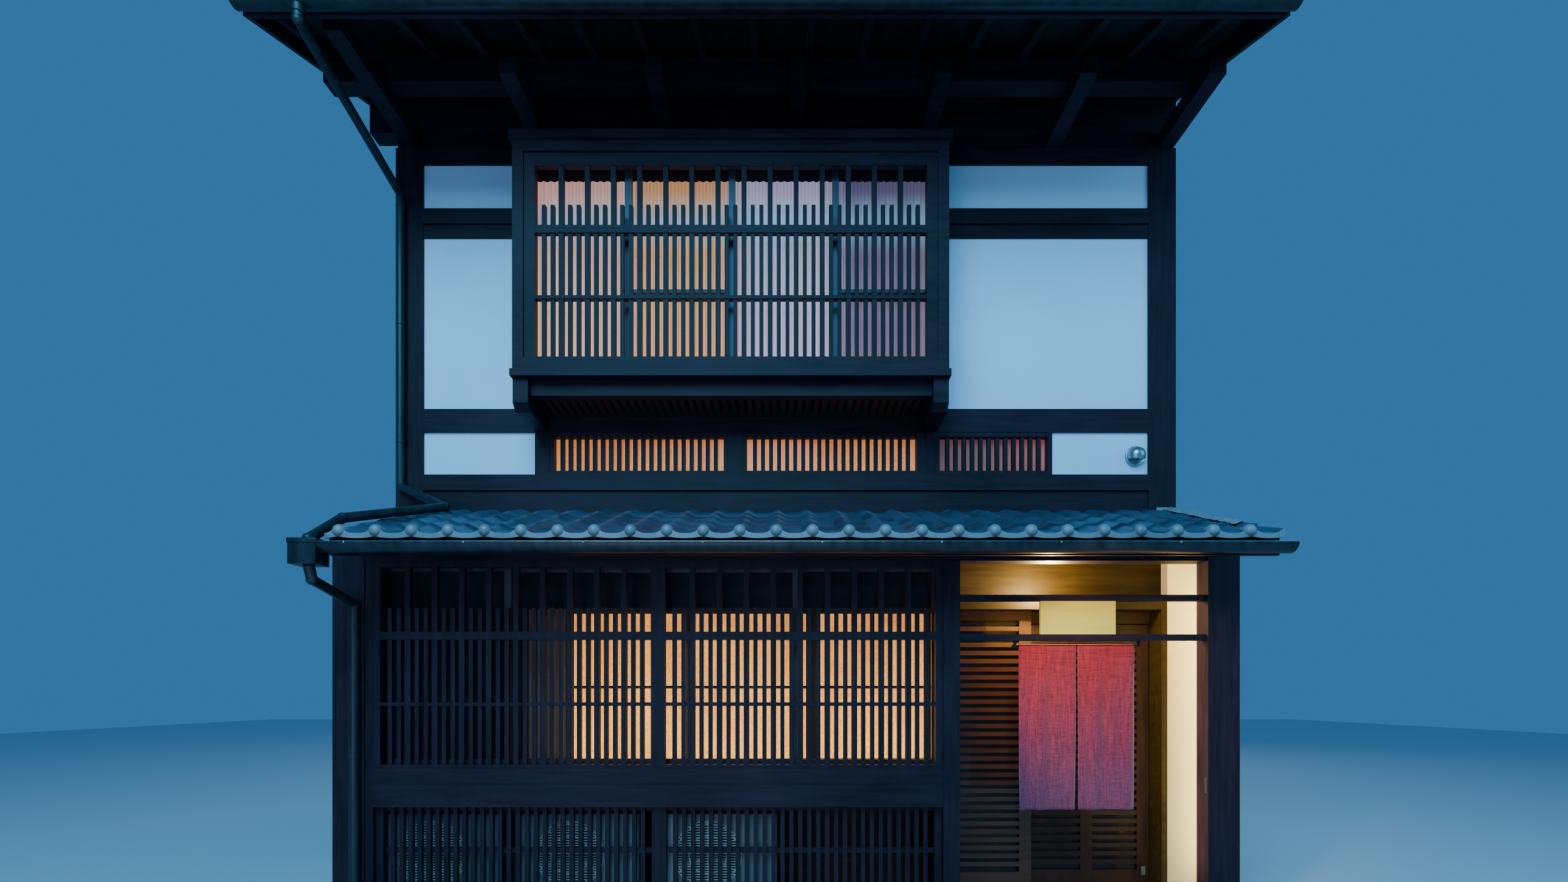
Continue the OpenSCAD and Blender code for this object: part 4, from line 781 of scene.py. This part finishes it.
def curtain_finish():
    finish, tree, surface = new_finish("thin_curtain")
    place = object_place(tree)
    axes = split_axes(tree, place)
    soft = add_node(tree, "ShaderNodeTexNoise", in_Scale=1.3, in_Detail=2.0)
    bands = add_node(tree, "ShaderNodeTexWave", wave_type="BANDS", bands_direction="X",
                     in_Scale=math.tau / (10 * CURTAIN_PLEAT))
    for texture in (soft, bands):
        tree.links.new(place, texture.inputs["Vector"])

    def across(start, end):
        return ramp_between(tree, axes["X"], curtain_low.x + start, curtain_low.x + end)

    def below(start, end):
        return ramp_between(tree, axes["Z"], curtain_high.z - start, curtain_high.z - end)

    low_part = ramp_between(tree, axes["Z"], curtain_high.z - 0.2, curtain_low.z)
    rosy = mixed(tree, low_part, (0.60, 0.33, 0.30), (1.0, 0.54, 0.32))
    golden = mixed(tree, low_part, (0.52, 0.26, 0.12), (1.0, 0.43, 0.10))
    pale = mixed(tree, low_part, (0.36, 0.32, 0.52), (0.60, 0.47, 0.70))
    dusk = mixed(tree, low_part, (0.09, 0.075, 0.17), (0.22, 0.12, 0.21))
    # The rooms behind light it differently, from its left end to the right
    warm = mixed(tree, across(0.74, 0.80), rosy, golden)
    glow = mixed(tree, across(1.40, 1.60), warm, mixed(tree, across(2.16, 2.36), pale, dusk))
    glow = mixed(tree, 0.35, glow, mixed(tree, 1.0, glow, soft.outputs["Color"], "MULTIPLY"))
    stripe = ramp_between(tree, bands.outputs["Fac"], 0.0, 1.0)
    glow = mixed(tree, 1.0, glow, mixed(tree, stripe, (0.74, 0.70, 0.68), (1.0, 1.0, 1.0)), "MULTIPLY")
    # A pale band of evening sky is reflected near the head
    sky_part = mixed(tree, below(0.62, 0.48), (0.0, 0.0, 0.0), (0.6, 0.6, 0.6))
    glow = mixed(tree, mixed(tree, below(0.26, 0.40), (0.0, 0.0, 0.0), sky_part), glow, (0.10, 0.24, 0.40))
    wire_surface(tree, surface, noise(tree, place, 260.0, 2.0), 0.2, 0.0006, Roughness=0.9,
                 Base_Color=(0.60, 0.50, 0.42), Emission_Color=glow, Emission_Strength=1.7)
    return finish


take_piece("bay_curtain_cloth", curtain_finish(), "curtain", "bay_curtain")

# Noren
# Two panels of hand-woven hemp hang from the rod by a sleeve, with a slit between them. The
# cloth is red at the top and turns mauve towards the hem; it is left plain.
NOREN_SLEEVE_RADIUS = 0.0102
NOREN_SLIT = 0.011
NOREN_ACROSS = 22
NOREN_DOWN = 60
NOREN_FRAMES = 24
NOREN_HELD_BELOW = 0.012
NOREN_ROD_ABOVE = 0.0093
NOREN_PANEL_GAP = 0.008
NOREN_THICKNESS = 0.0012
NOREN_WIDE_FOLD = 0.013
NOREN_SMALL_FOLD = 0.006
NOREN_FOLDS_OPEN = 0.35
noren_low, noren_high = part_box("noren")
rod_z = noren_high.z + NOREN_ROD_ABOVE
rod_y = (noren_low.y + noren_high.y) / 2
panel_w = (noren_high.x - noren_low.x - NOREN_PANEL_GAP) / 2
sleeve_run = math.pi * NOREN_SLEEVE_RADIUS * 1.5
noren_length = noren_high.z - noren_low.z + sleeve_run
panels = []
for number in range(2):
    left = noren_low.x + number * (panel_w + NOREN_PANEL_GAP)
    panel = grid_sheet(left, left + panel_w, 0.0, 0.0, 1.0, NOREN_ACROSS, NOREN_DOWN)
    held = panel.vertex_groups.new(name="sleeve")
    for point in panel.data.vertices:
        across = (point.co.x - left) / panel_w
        down = (1 - point.co.z) * noren_length
        drop = down - sleeve_run
        if drop < 0:
            angle = math.pi * 1.5 * (1 - down / sleeve_run)
            point.co.y = rod_y - NOREN_SLEEVE_RADIUS * math.cos(angle)
            point.co.z = rod_z + NOREN_SLEEVE_RADIUS * math.sin(angle)
        else:
            fold = math.sin(math.tau * (across * 1.7 + 0.23 * number + 0.1)) * NOREN_WIDE_FOLD
            small_turn = math.tau * (across * 3.3 + 0.4 + 0.3 * number + 0.2 * drop)
            fold += math.sin(small_turn) * NOREN_SMALL_FOLD
            point.co.x += NOREN_SLIT * drop / noren_length * (number - across)
            point.co.y = rod_y - NOREN_SLEEVE_RADIUS + fold * min(1.0, drop / NOREN_FOLDS_OPEN)
            point.co.z = rod_z - drop
        if drop < NOREN_HELD_BELOW:
            held.add([point.index], 1.0, "ADD")
    panels.append(panel)
join_parts(panels)
noren_cloth = bpy.context.object
drape = noren_cloth.modifiers.new("drape", "CLOTH")
for label, value in (("quality", 6), ("mass", 0.25), ("tension_stiffness", 30),
                     ("compression_stiffness", 20), ("shear_stiffness", 12), ("bending_stiffness", 1.2),
                     ("vertex_group_mass", "sleeve")):
    setattr(drape.settings, label, value)
drape.point_cache.frame_end = NOREN_FRAMES
for step in range(1, NOREN_FRAMES + 1):
    bpy.context.scene.frame_set(step)
bpy.ops.object.modifier_apply(modifier="drape")
bpy.context.scene.frame_set(1)
add_modifier(noren_cloth, "SOLIDIFY", thickness=NOREN_THICKNESS, offset=0)
bpy.ops.object.shade_smooth()


def weave_group():
    group, start, end = new_group(
        "plain_weave",
        [("Threads", "NodeSocketFloat", 420.0)],
        [("Slub", "NodeSocketFloat"), ("Height", "NodeSocketFloat")],
    )
    place = object_place(group)
    link = group.links.new
    ways = []
    for scale in ((0.05, 1.0, 1.0), (1.0, 1.0, 0.05)):
        threads = add_node(group, "ShaderNodeTexNoise", in_Detail=3.0, in_Roughness=0.6)
        link(stretched(group, place, scale), threads.inputs["Vector"])
        link(start.outputs["Threads"], threads.inputs["Scale"])
        ways.append(threads.outputs["Fac"])
    half = weighed(group, ways[0], ways[1], 0.5)
    link(half, end.inputs["Slub"])
    link(half, end.inputs["Height"])
    return group


plain_weave = weave_group()


def dyed_hemp():
    finish, tree, surface = new_finish("dyed_hemp")
    place = object_place(tree)
    weave = add_node(tree, "ShaderNodeGroup", node_tree=plain_weave, in_Threads=150.0)
    fall = ramp_between(tree, split_axes(tree, place)["Z"], noren_high.z - 0.05, noren_low.z + 0.15)
    dye = mixed(tree, fall, (0.50, 0.014, 0.014), (0.23, 0.036, 0.085))
    patch = ramp_between(tree, noise(tree, place, 3.0, 3.0), 0.3, 0.7)
    dye = mixed(tree, mixed(tree, 0.7, patch, (0.0, 0.0, 0.0)), dye, (0.30, 0.060, 0.09))
    slub = ramp_between(tree, weave.outputs["Slub"], 0.36, 0.66)
    dye = mixed(tree, 1.0, dye, mixed(tree, slub, (0.48, 0.46, 0.50), (1.45, 1.36, 1.40)), "MULTIPLY")
    wire_surface(tree, surface, weave.outputs["Height"], 0.5, 0.0012, Base_Color=dye, Roughness=0.92,
                 Sheen_Weight=0.15)
    return finish


take_piece("noren_cloth", dyed_hemp(), "noren_cloth", "noren")


# Rain goods
# Dark painted steel gutters and pipes, with a rolled bead on the front lip of each gutter and the nut of
# each hanger on it. Bead and nuts are coloured bright zinc, a painted highlight along the lip. The paint
# has weathered, with a few pale runs.
def painted_metal(name, dark, light, roughness, metallic, scale=18.0):
    finish, tree, surface = new_finish(name)
    place = object_place(tree)
    stains = noise(tree, stretched(tree, place, (1.0, 1.0, 0.2)), scale, 6.0)
    wire_surface(tree, surface, noise(tree, place, 380.0, 2.0), 0.12, 0.0006, Metallic=metallic,
                 Base_Color=mixed(tree, ramp_between(tree, stains, 0.3, 0.7), dark, light),
                 Roughness=ramp_between(tree, stains, 0.0, 1.0, roughness - 0.1, roughness + 0.15))
    return finish


rain_steel = painted_metal("painted_rain_steel", (0.010, 0.012, 0.016), (0.028, 0.032, 0.040), 0.38, 0.3)
# Bright zinc for the bead and nuts: a painted highlight
zinc_painted_highlight = painted_metal("painted_highlight_zinc", (0.20, 0.24, 0.30), (0.36, 0.42, 0.50), 0.28, 0.9)
sash_grey = painted_metal("grey_sash", (0.040, 0.040, 0.060), (0.075, 0.075, 0.105), 0.42, 0.4)
finish_node("ground_sashes", sash_grey)
finish_node("bay_sashes", sash_grey)
finish_node("gutters", rain_steel)
finish_node("downpipes", rain_steel)

BEAD_RADIUS = 0.0045
NUT_RADIUS = 0.0085
NUT_OUT = 0.006
NUT_DROP = 0.003
PENT_HANGER_STEP = 0.7
MAIN_HANGER_STEP = 0.9
RAIN_HEAD_LEFT = 0.082
RAIN_HEAD_RIGHT = 0.247
GUTTER_FRONT = 0.098
FIRST_HANGER = 0.1625
PENT_GUTTER_DROP = 0.038
STREET_GUTTER_DROP = 0.1315
gutter_low, gutter_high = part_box("gutters")


def rolled_bead(name, left, right, y, z, outward, hanger_step):
    start_piece()
    bead = add_rod(BEAD_RADIUS, right - left, ((left + right) / 2, y - outward * BEAD_RADIUS, z), ALONG_X, 12)
    first_hanger = left + FIRST_HANGER
    nut = add_ball(NUT_RADIUS, (first_hanger, y - outward * NUT_OUT, z - NUT_DROP), 12, 8)
    repeat(nut, int((right - first_hanger) / hanger_step) + 1, (hanger_step, 0, 0))
    join_parts([bead, nut])
    smooth_edges(40)
    take_piece(name, zinc_painted_highlight, "rain_metal")


party_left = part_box("left_party_wall")[0].x
party_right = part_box("right_party_wall")[1].x
pent_gutter_z = pent_low.z - PENT_GUTTER_DROP
street_gutter_z = roof_low.z - STREET_GUTTER_DROP
rolled_bead("pent_gutter_bead", party_left + RAIN_HEAD_RIGHT, party_right, pent_low.y - GUTTER_FRONT,
            pent_gutter_z, -1, PENT_HANGER_STEP)
rolled_bead("street_gutter_bead", gutter_low.x, gutter_high.x, roof_low.y - GUTTER_FRONT, street_gutter_z,
            -1, MAIN_HANGER_STEP)
rolled_bead("rear_gutter_bead", gutter_low.x, gutter_high.x, gutter_high.y, gutter_high.z, 1,
            MAIN_HANGER_STEP)

GUTTER_RADIUS = 0.058
END_RADIUS = 0.0565
END_PLATE = 0.003
END_OUT = 0.001
HEAD_OVER = 0.020
HEAD_RIM = 0.030
HEAD_RIM_OUT = 0.004


def gutter_ends():
    start_piece()
    street_y = roof_low.y - GUTTER_FRONT + GUTTER_RADIUS
    rear_y = gutter_high.y - GUTTER_RADIUS
    pent_y = pent_low.y - GUTTER_FRONT + GUTTER_RADIUS
    ends = [(x, y, z) for x in (gutter_low.x, gutter_high.x)
            for y, z in ((street_y, street_gutter_z), (rear_y, gutter_high.z))]
    ends.append((party_right, pent_y, pent_gutter_z))
    plates = []
    for x, y, z in ends:
        inward = END_PLATE / 2 - END_OUT if x < house_mid_x else END_OUT - END_PLATE / 2
        middle = (x + inward, y, z)
        plates.append(add_rod(END_RADIUS, END_PLATE, middle, ALONG_X, 40))
        edit_all(cut(middle, (0, 0, 1), use_fill=True, clear_outer=True))
    left = party_left + RAIN_HEAD_LEFT - HEAD_RIM_OUT
    right = party_left + RAIN_HEAD_RIGHT + HEAD_RIM_OUT
    top = pent_gutter_z + HEAD_OVER + 0.002
    rim = add_box((right - left, 2 * (GUTTER_RADIUS + HEAD_RIM_OUT), HEAD_RIM),
                  ((left + right) / 2, pent_y, top - HEAD_RIM / 2))
    add_modifier(rim, "BEVEL", width=0.002, segments=2)
    join_parts([rim, *plates])
    smooth_edges(30)
    take_piece("gutter_ends", rain_steel, "rain_metal")


gutter_ends()

# Pent roof flashing
# A strip of thin sheet metal is dressed over the tiles along the right verge, creased by hand.
FLASHING_LENGTH = 0.77
FLASHING_WIDTH = 0.085
FLASHING_LIFT = 0.030
CREASES = 14
CREASE_HEIGHT = 0.004
CREASE_WIDTH = 0.012


def verge_flashing():
    start_piece()
    bpy.ops.mesh.primitive_grid_add(x_subdivisions=8, y_subdivisions=48, size=1)
    sheet = bpy.context.object
    dice = random.Random(11)
    creases = [(dice.uniform(0.0, 1.0), dice.uniform(-1.0, 1.0)) for _ in range(CREASES)]
    for point in sheet.data.vertices:
        across = point.co.x + 0.5
        along = point.co.y + 0.5
        x = pent_high.x - FLASHING_WIDTH * (1 - across) + 0.004
        y = pent_high.y - FLASHING_LENGTH * (1 - along)
        lift = roll_height((x - pent_roll_x) / TILE_PITCH) + FLASHING_LIFT
        for centre, slant in creases:
            crease = (along - centre - 0.03 * slant * across) / CREASE_WIDTH
            lift += CREASE_HEIGHT * math.exp(-crease ** 2)
        z = pent_eave_z + (y - pent_low.y) * PENT_RISE + lift
        point.co = (x + 0.003 * math.sin(31 * along), y, z - 0.025 * max(0.0, across - 0.75) * 4)
    add_modifier(sheet, "SOLIDIFY", thickness=0.0012, offset=1)
    bpy.ops.object.shade_smooth()
    take_piece("verge_flashing", dull_lead, "rain_metal")


dull_lead = painted_metal("dull_lead", (0.26, 0.25, 0.29), (0.44, 0.41, 0.45), 0.45, 0.4, 40.0)
verge_flashing()

# Outdoor units
# Three painted steel heat pump cases stand behind the lower lattice. The guard of each fan has
# level louvres in a ring, with three stays behind them, and each case has a pressed lid.
GUARD_WIRE = 0.0022
GUARD_LOUVRES = 26
LID_OUT = 0.004
LID_HEIGHT = 0.025
CASE_WIDTH = 0.800
CASE_DEPTH = 0.300
HUB_RADIUS = 0.045
UNIT_COUNT = 3
UNIT_PITCH = 0.941
FAN_RADIUS = 0.235
FAN_X = 0.330
FAN_Z = 0.490
GUARD_RING = FAN_RADIUS - 0.004
LOUVRE_TILT = 0.6
LOUVRE_DEPTH = 0.007
LOUVRE_THICKNESS = 0.0034
HUB_DEPTH = 0.030
BLADE_SWEEP = 1.75
BLADE_SKEW = 0.35
units_low, units_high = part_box("outdoor_units")
cream_enamel = painted_metal("cream_enamel", (0.62, 0.60, 0.55), (0.80, 0.78, 0.72), 0.42, 0.0, 6.0)
# The cases and lids are dark grey beside the cream guards: painted shade behind the lattice
case_enamel_painted_shade = painted_metal("case_enamel_painted_shade", (0.14, 0.145, 0.15), (0.24, 0.245, 0.25), 0.42, 0.0, 6.0)
dark_plastic = painted_metal("dark_fan_plastic", (0.012, 0.012, 0.014), (0.03, 0.03, 0.034), 0.5, 0.0,
                             12.0)
finish_node("outdoor_units", case_enamel_painted_shade)


def fan_guard():
    start_piece()
    parts = []
    centre = Vector((units_low.x + FAN_X, units_low.y + 0.003, FAN_Z))
    for radius in (GUARD_RING, FAN_RADIUS - 0.022, FAN_RADIUS * 0.55):
        bpy.ops.mesh.primitive_torus_add(major_radius=radius, minor_radius=GUARD_WIRE * 1.6,
                                         major_segments=56, minor_segments=8, location=centre,
                                         rotation=ALONG_Y)
        parts.append(bpy.context.object)
    for number in range(GUARD_LOUVRES):
        up = (number + 0.5 - GUARD_LOUVRES / 2) * 2 * GUARD_RING / GUARD_LOUVRES
        width = 2 * math.sqrt(GUARD_RING ** 2 - up ** 2)
        parts.append(add_box((width, LOUVRE_DEPTH, LOUVRE_THICKNESS), centre + Vector((0, -0.001, up)),
                             (LOUVRE_TILT, 0, 0)))
    for angle in (0.0, math.pi / 3, -math.pi / 3):
        parts.append(add_rod(GUARD_WIRE, 2 * GUARD_RING, centre + Vector((0, 0.003, 0)), (0, angle, 0), 8))
    join_parts(parts)
    apply_transform()
    repeat(parts[0], UNIT_COUNT, (UNIT_PITCH, 0, 0))
    smooth_edges(50)
    take_piece("fan_guards", cream_enamel, "unit_case")


def fan_blades():
    start_piece()
    bpy.ops.mesh.primitive_grid_add(x_subdivisions=8, y_subdivisions=6, size=1)
    blade = bpy.context.object
    for point in blade.data.vertices:
        along = HUB_RADIUS + 0.01 + (point.co.x + 0.5) * (FAN_RADIUS - HUB_RADIUS - 0.035)
        swing = (point.co.y + 0.5) * BLADE_SWEEP + (point.co.x + 0.5) * BLADE_SKEW
        point.co = (along * math.sin(swing), 0.014 - 0.018 * point.co.y, along * math.cos(swing))
    add_modifier(blade, "SOLIDIFY", thickness=0.002, offset=0)
    parts = [blade]
    for number in (1, 2):
        start_piece()
        blade.select_set(True)
        bpy.context.view_layer.objects.active = blade
        bpy.ops.object.duplicate()
        bpy.context.object.rotation_euler = (0, math.tau * number / 3, 0)
        parts.append(bpy.context.object)
    join_parts(parts)
    blade.location = (units_low.x + FAN_X, units_low.y + 0.012, FAN_Z)
    apply_transform()
    hub = add_rod(HUB_RADIUS, HUB_DEPTH, (units_low.x + FAN_X, units_low.y + 0.026, FAN_Z), ALONG_Y, 32)
    add_modifier(hub, "BEVEL", width=0.004, segments=3)
    join_parts([blade, hub])
    repeat(blade, UNIT_COUNT, (UNIT_PITCH, 0, 0))
    smooth_edges(50)
    take_piece("fan_blades", dark_plastic, "unit_case")


def unit_lids():
    start_piece()
    lid = add_box((CASE_WIDTH + 2 * LID_OUT, CASE_DEPTH + 2 * LID_OUT, LID_HEIGHT),
                  (units_low.x + CASE_WIDTH / 2, units_low.y + CASE_DEPTH / 2,
                   units_high.z + 0.001 - LID_HEIGHT / 2))
    add_modifier(lid, "BEVEL", width=0.003, segments=3)
    repeat(lid, UNIT_COUNT, (UNIT_PITCH, 0, 0))
    smooth_edges(30)
    take_piece("unit_lids", case_enamel_painted_shade, "unit_case")


fan_guard()
fan_blades()
unit_lids()

# Vent hood
# A pressed steel hood over a vent: a round flange and a half dome, open below with three thin
# louvres.
HOOD_FLANGE = 0.025
HOOD_RIM = 0.008
HOOD_STEEL = 0.0022
HOOD_MOUTH = 0.022
HOOD_LOUVRES = 3
HOOD_LOUVRE_TILT = 0.35
HOOD_LOUVRE_STEP = 0.013
hood_low, hood_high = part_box("vent_hood")
hood_steel = painted_metal("hood_steel", (0.30, 0.32, 0.34), (0.46, 0.48, 0.50), 0.28, 0.85, 30.0)


def vent_dome():
    start_piece()
    middle = (hood_low + hood_high) / 2
    middle.y = hood_high.y - HOOD_FLANGE
    flange_r = (hood_high.x - hood_low.x) / 2
    dome_r = flange_r - HOOD_RIM
    dome = add_ball(dome_r, middle, 40, 24)
    apply_transform()
    edit_all(cut(middle, (0, 1, 0), clear_outer=True),
             cut(middle - Vector((0, 0, HOOD_MOUTH)), (0, -0.35, 1), clear_inner=True))
    add_modifier(dome, "SOLIDIFY", thickness=HOOD_STEEL, offset=-1)
    flange = add_rod(flange_r, HOOD_FLANGE, middle + Vector((0, HOOD_FLANGE / 2, 0)), ALONG_Y, 48)
    bevel_edges(0.004)
    parts = [dome, flange]
    for number in range(HOOD_LOUVRES):
        drop = HOOD_MOUTH + 0.002 + HOOD_LOUVRE_STEP * number
        half = math.sqrt(max(dome_r ** 2 - (drop + 0.004) ** 2, 0.0001)) * 0.93
        parts.append(add_box((1.75 * half, half * 0.66, HOOD_STEEL),
                             middle - Vector((0, half * 0.33, drop)), (HOOD_LOUVRE_TILT, 0, 0)))
    join_parts(parts)
    apply_transform()
    smooth_edges(40)
    take_piece("vent_hood_dome", hood_steel, "hood_metal", "vent_hood")


vent_dome()

# Sign board and soffit
# A plain cedar board, left blank, stands between the entrance bars. Slats close the bay below.
# The cedar is coloured a strong yellow: painted warm lamp light on the board
cedar_painted_lamp_light = timber("cedar_painted_lamp_light", (0.88, 0.60, 0.075), (1.0, 0.82, 0.13), GRAIN_LEVEL, 0.5, 0.12)
red_brown = timber("red_brown_slat", (0.024, 0.010, 0.007), (0.070, 0.029, 0.018), GRAIN_LEVEL, 0.3,
                   0.15, 0.3)
# The sliding door takes a darker copy of the slat timber: painted shade of its recess
door_brown_painted_shade = timber("door_brown_painted_shade", (0.010, 0.005, 0.0035), (0.034, 0.016, 0.010), GRAIN_UPRIGHT, 0.3)
finish_node("sign_board", cedar_painted_lamp_light)
soffit_slat = timber("soffit_slat", (0.016, 0.010, 0.009), (0.050, 0.028, 0.020), GRAIN_INWARD)
finish_node("bay_soffit", soffit_slat)
finish_node("floor_bearers", brown_rafter)
finish_node("fixed_slat_panel", red_brown)
finish_node("sliding_door", door_brown_painted_shade)

# Door hardware
# A steel-faced lock sits low on the sliding leaf's right stile, and a dark strike plate is let
# into the corner post.
LOCK_Z = 0.24
LOCK_HALF = 0.032
STRIKE_FOOT = 0.93
STRIKE_TOP = 1.03


def small_box(name, low_corner, high_corner, bevel, finish, body="house"):
    start_piece()
    add_box(Vector(high_corner) - Vector(low_corner), (Vector(low_corner) + Vector(high_corner)) / 2)
    bevel_edges(bevel)
    take_piece(name, finish, "rain_metal", body=body)


door_low, door_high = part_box("sliding_door")
post_face_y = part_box("ground_posts")[0].y
entrance_right_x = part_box("entrance_bars")[1].x
small_box("door_lock", (door_high.x - 0.055, door_low.y - 0.004, LOCK_Z - LOCK_HALF),
          (door_high.x - 0.025, door_low.y + 0.002, LOCK_Z + LOCK_HALF), 0.0015, hood_steel,
          "entrance_door")
small_box("strike_plate", (entrance_right_x - 0.002, post_face_y + 0.012, STRIKE_FOOT),
          (entrance_right_x + 0.001, post_face_y + 0.034, STRIKE_TOP), 0.0006, dark_plastic)
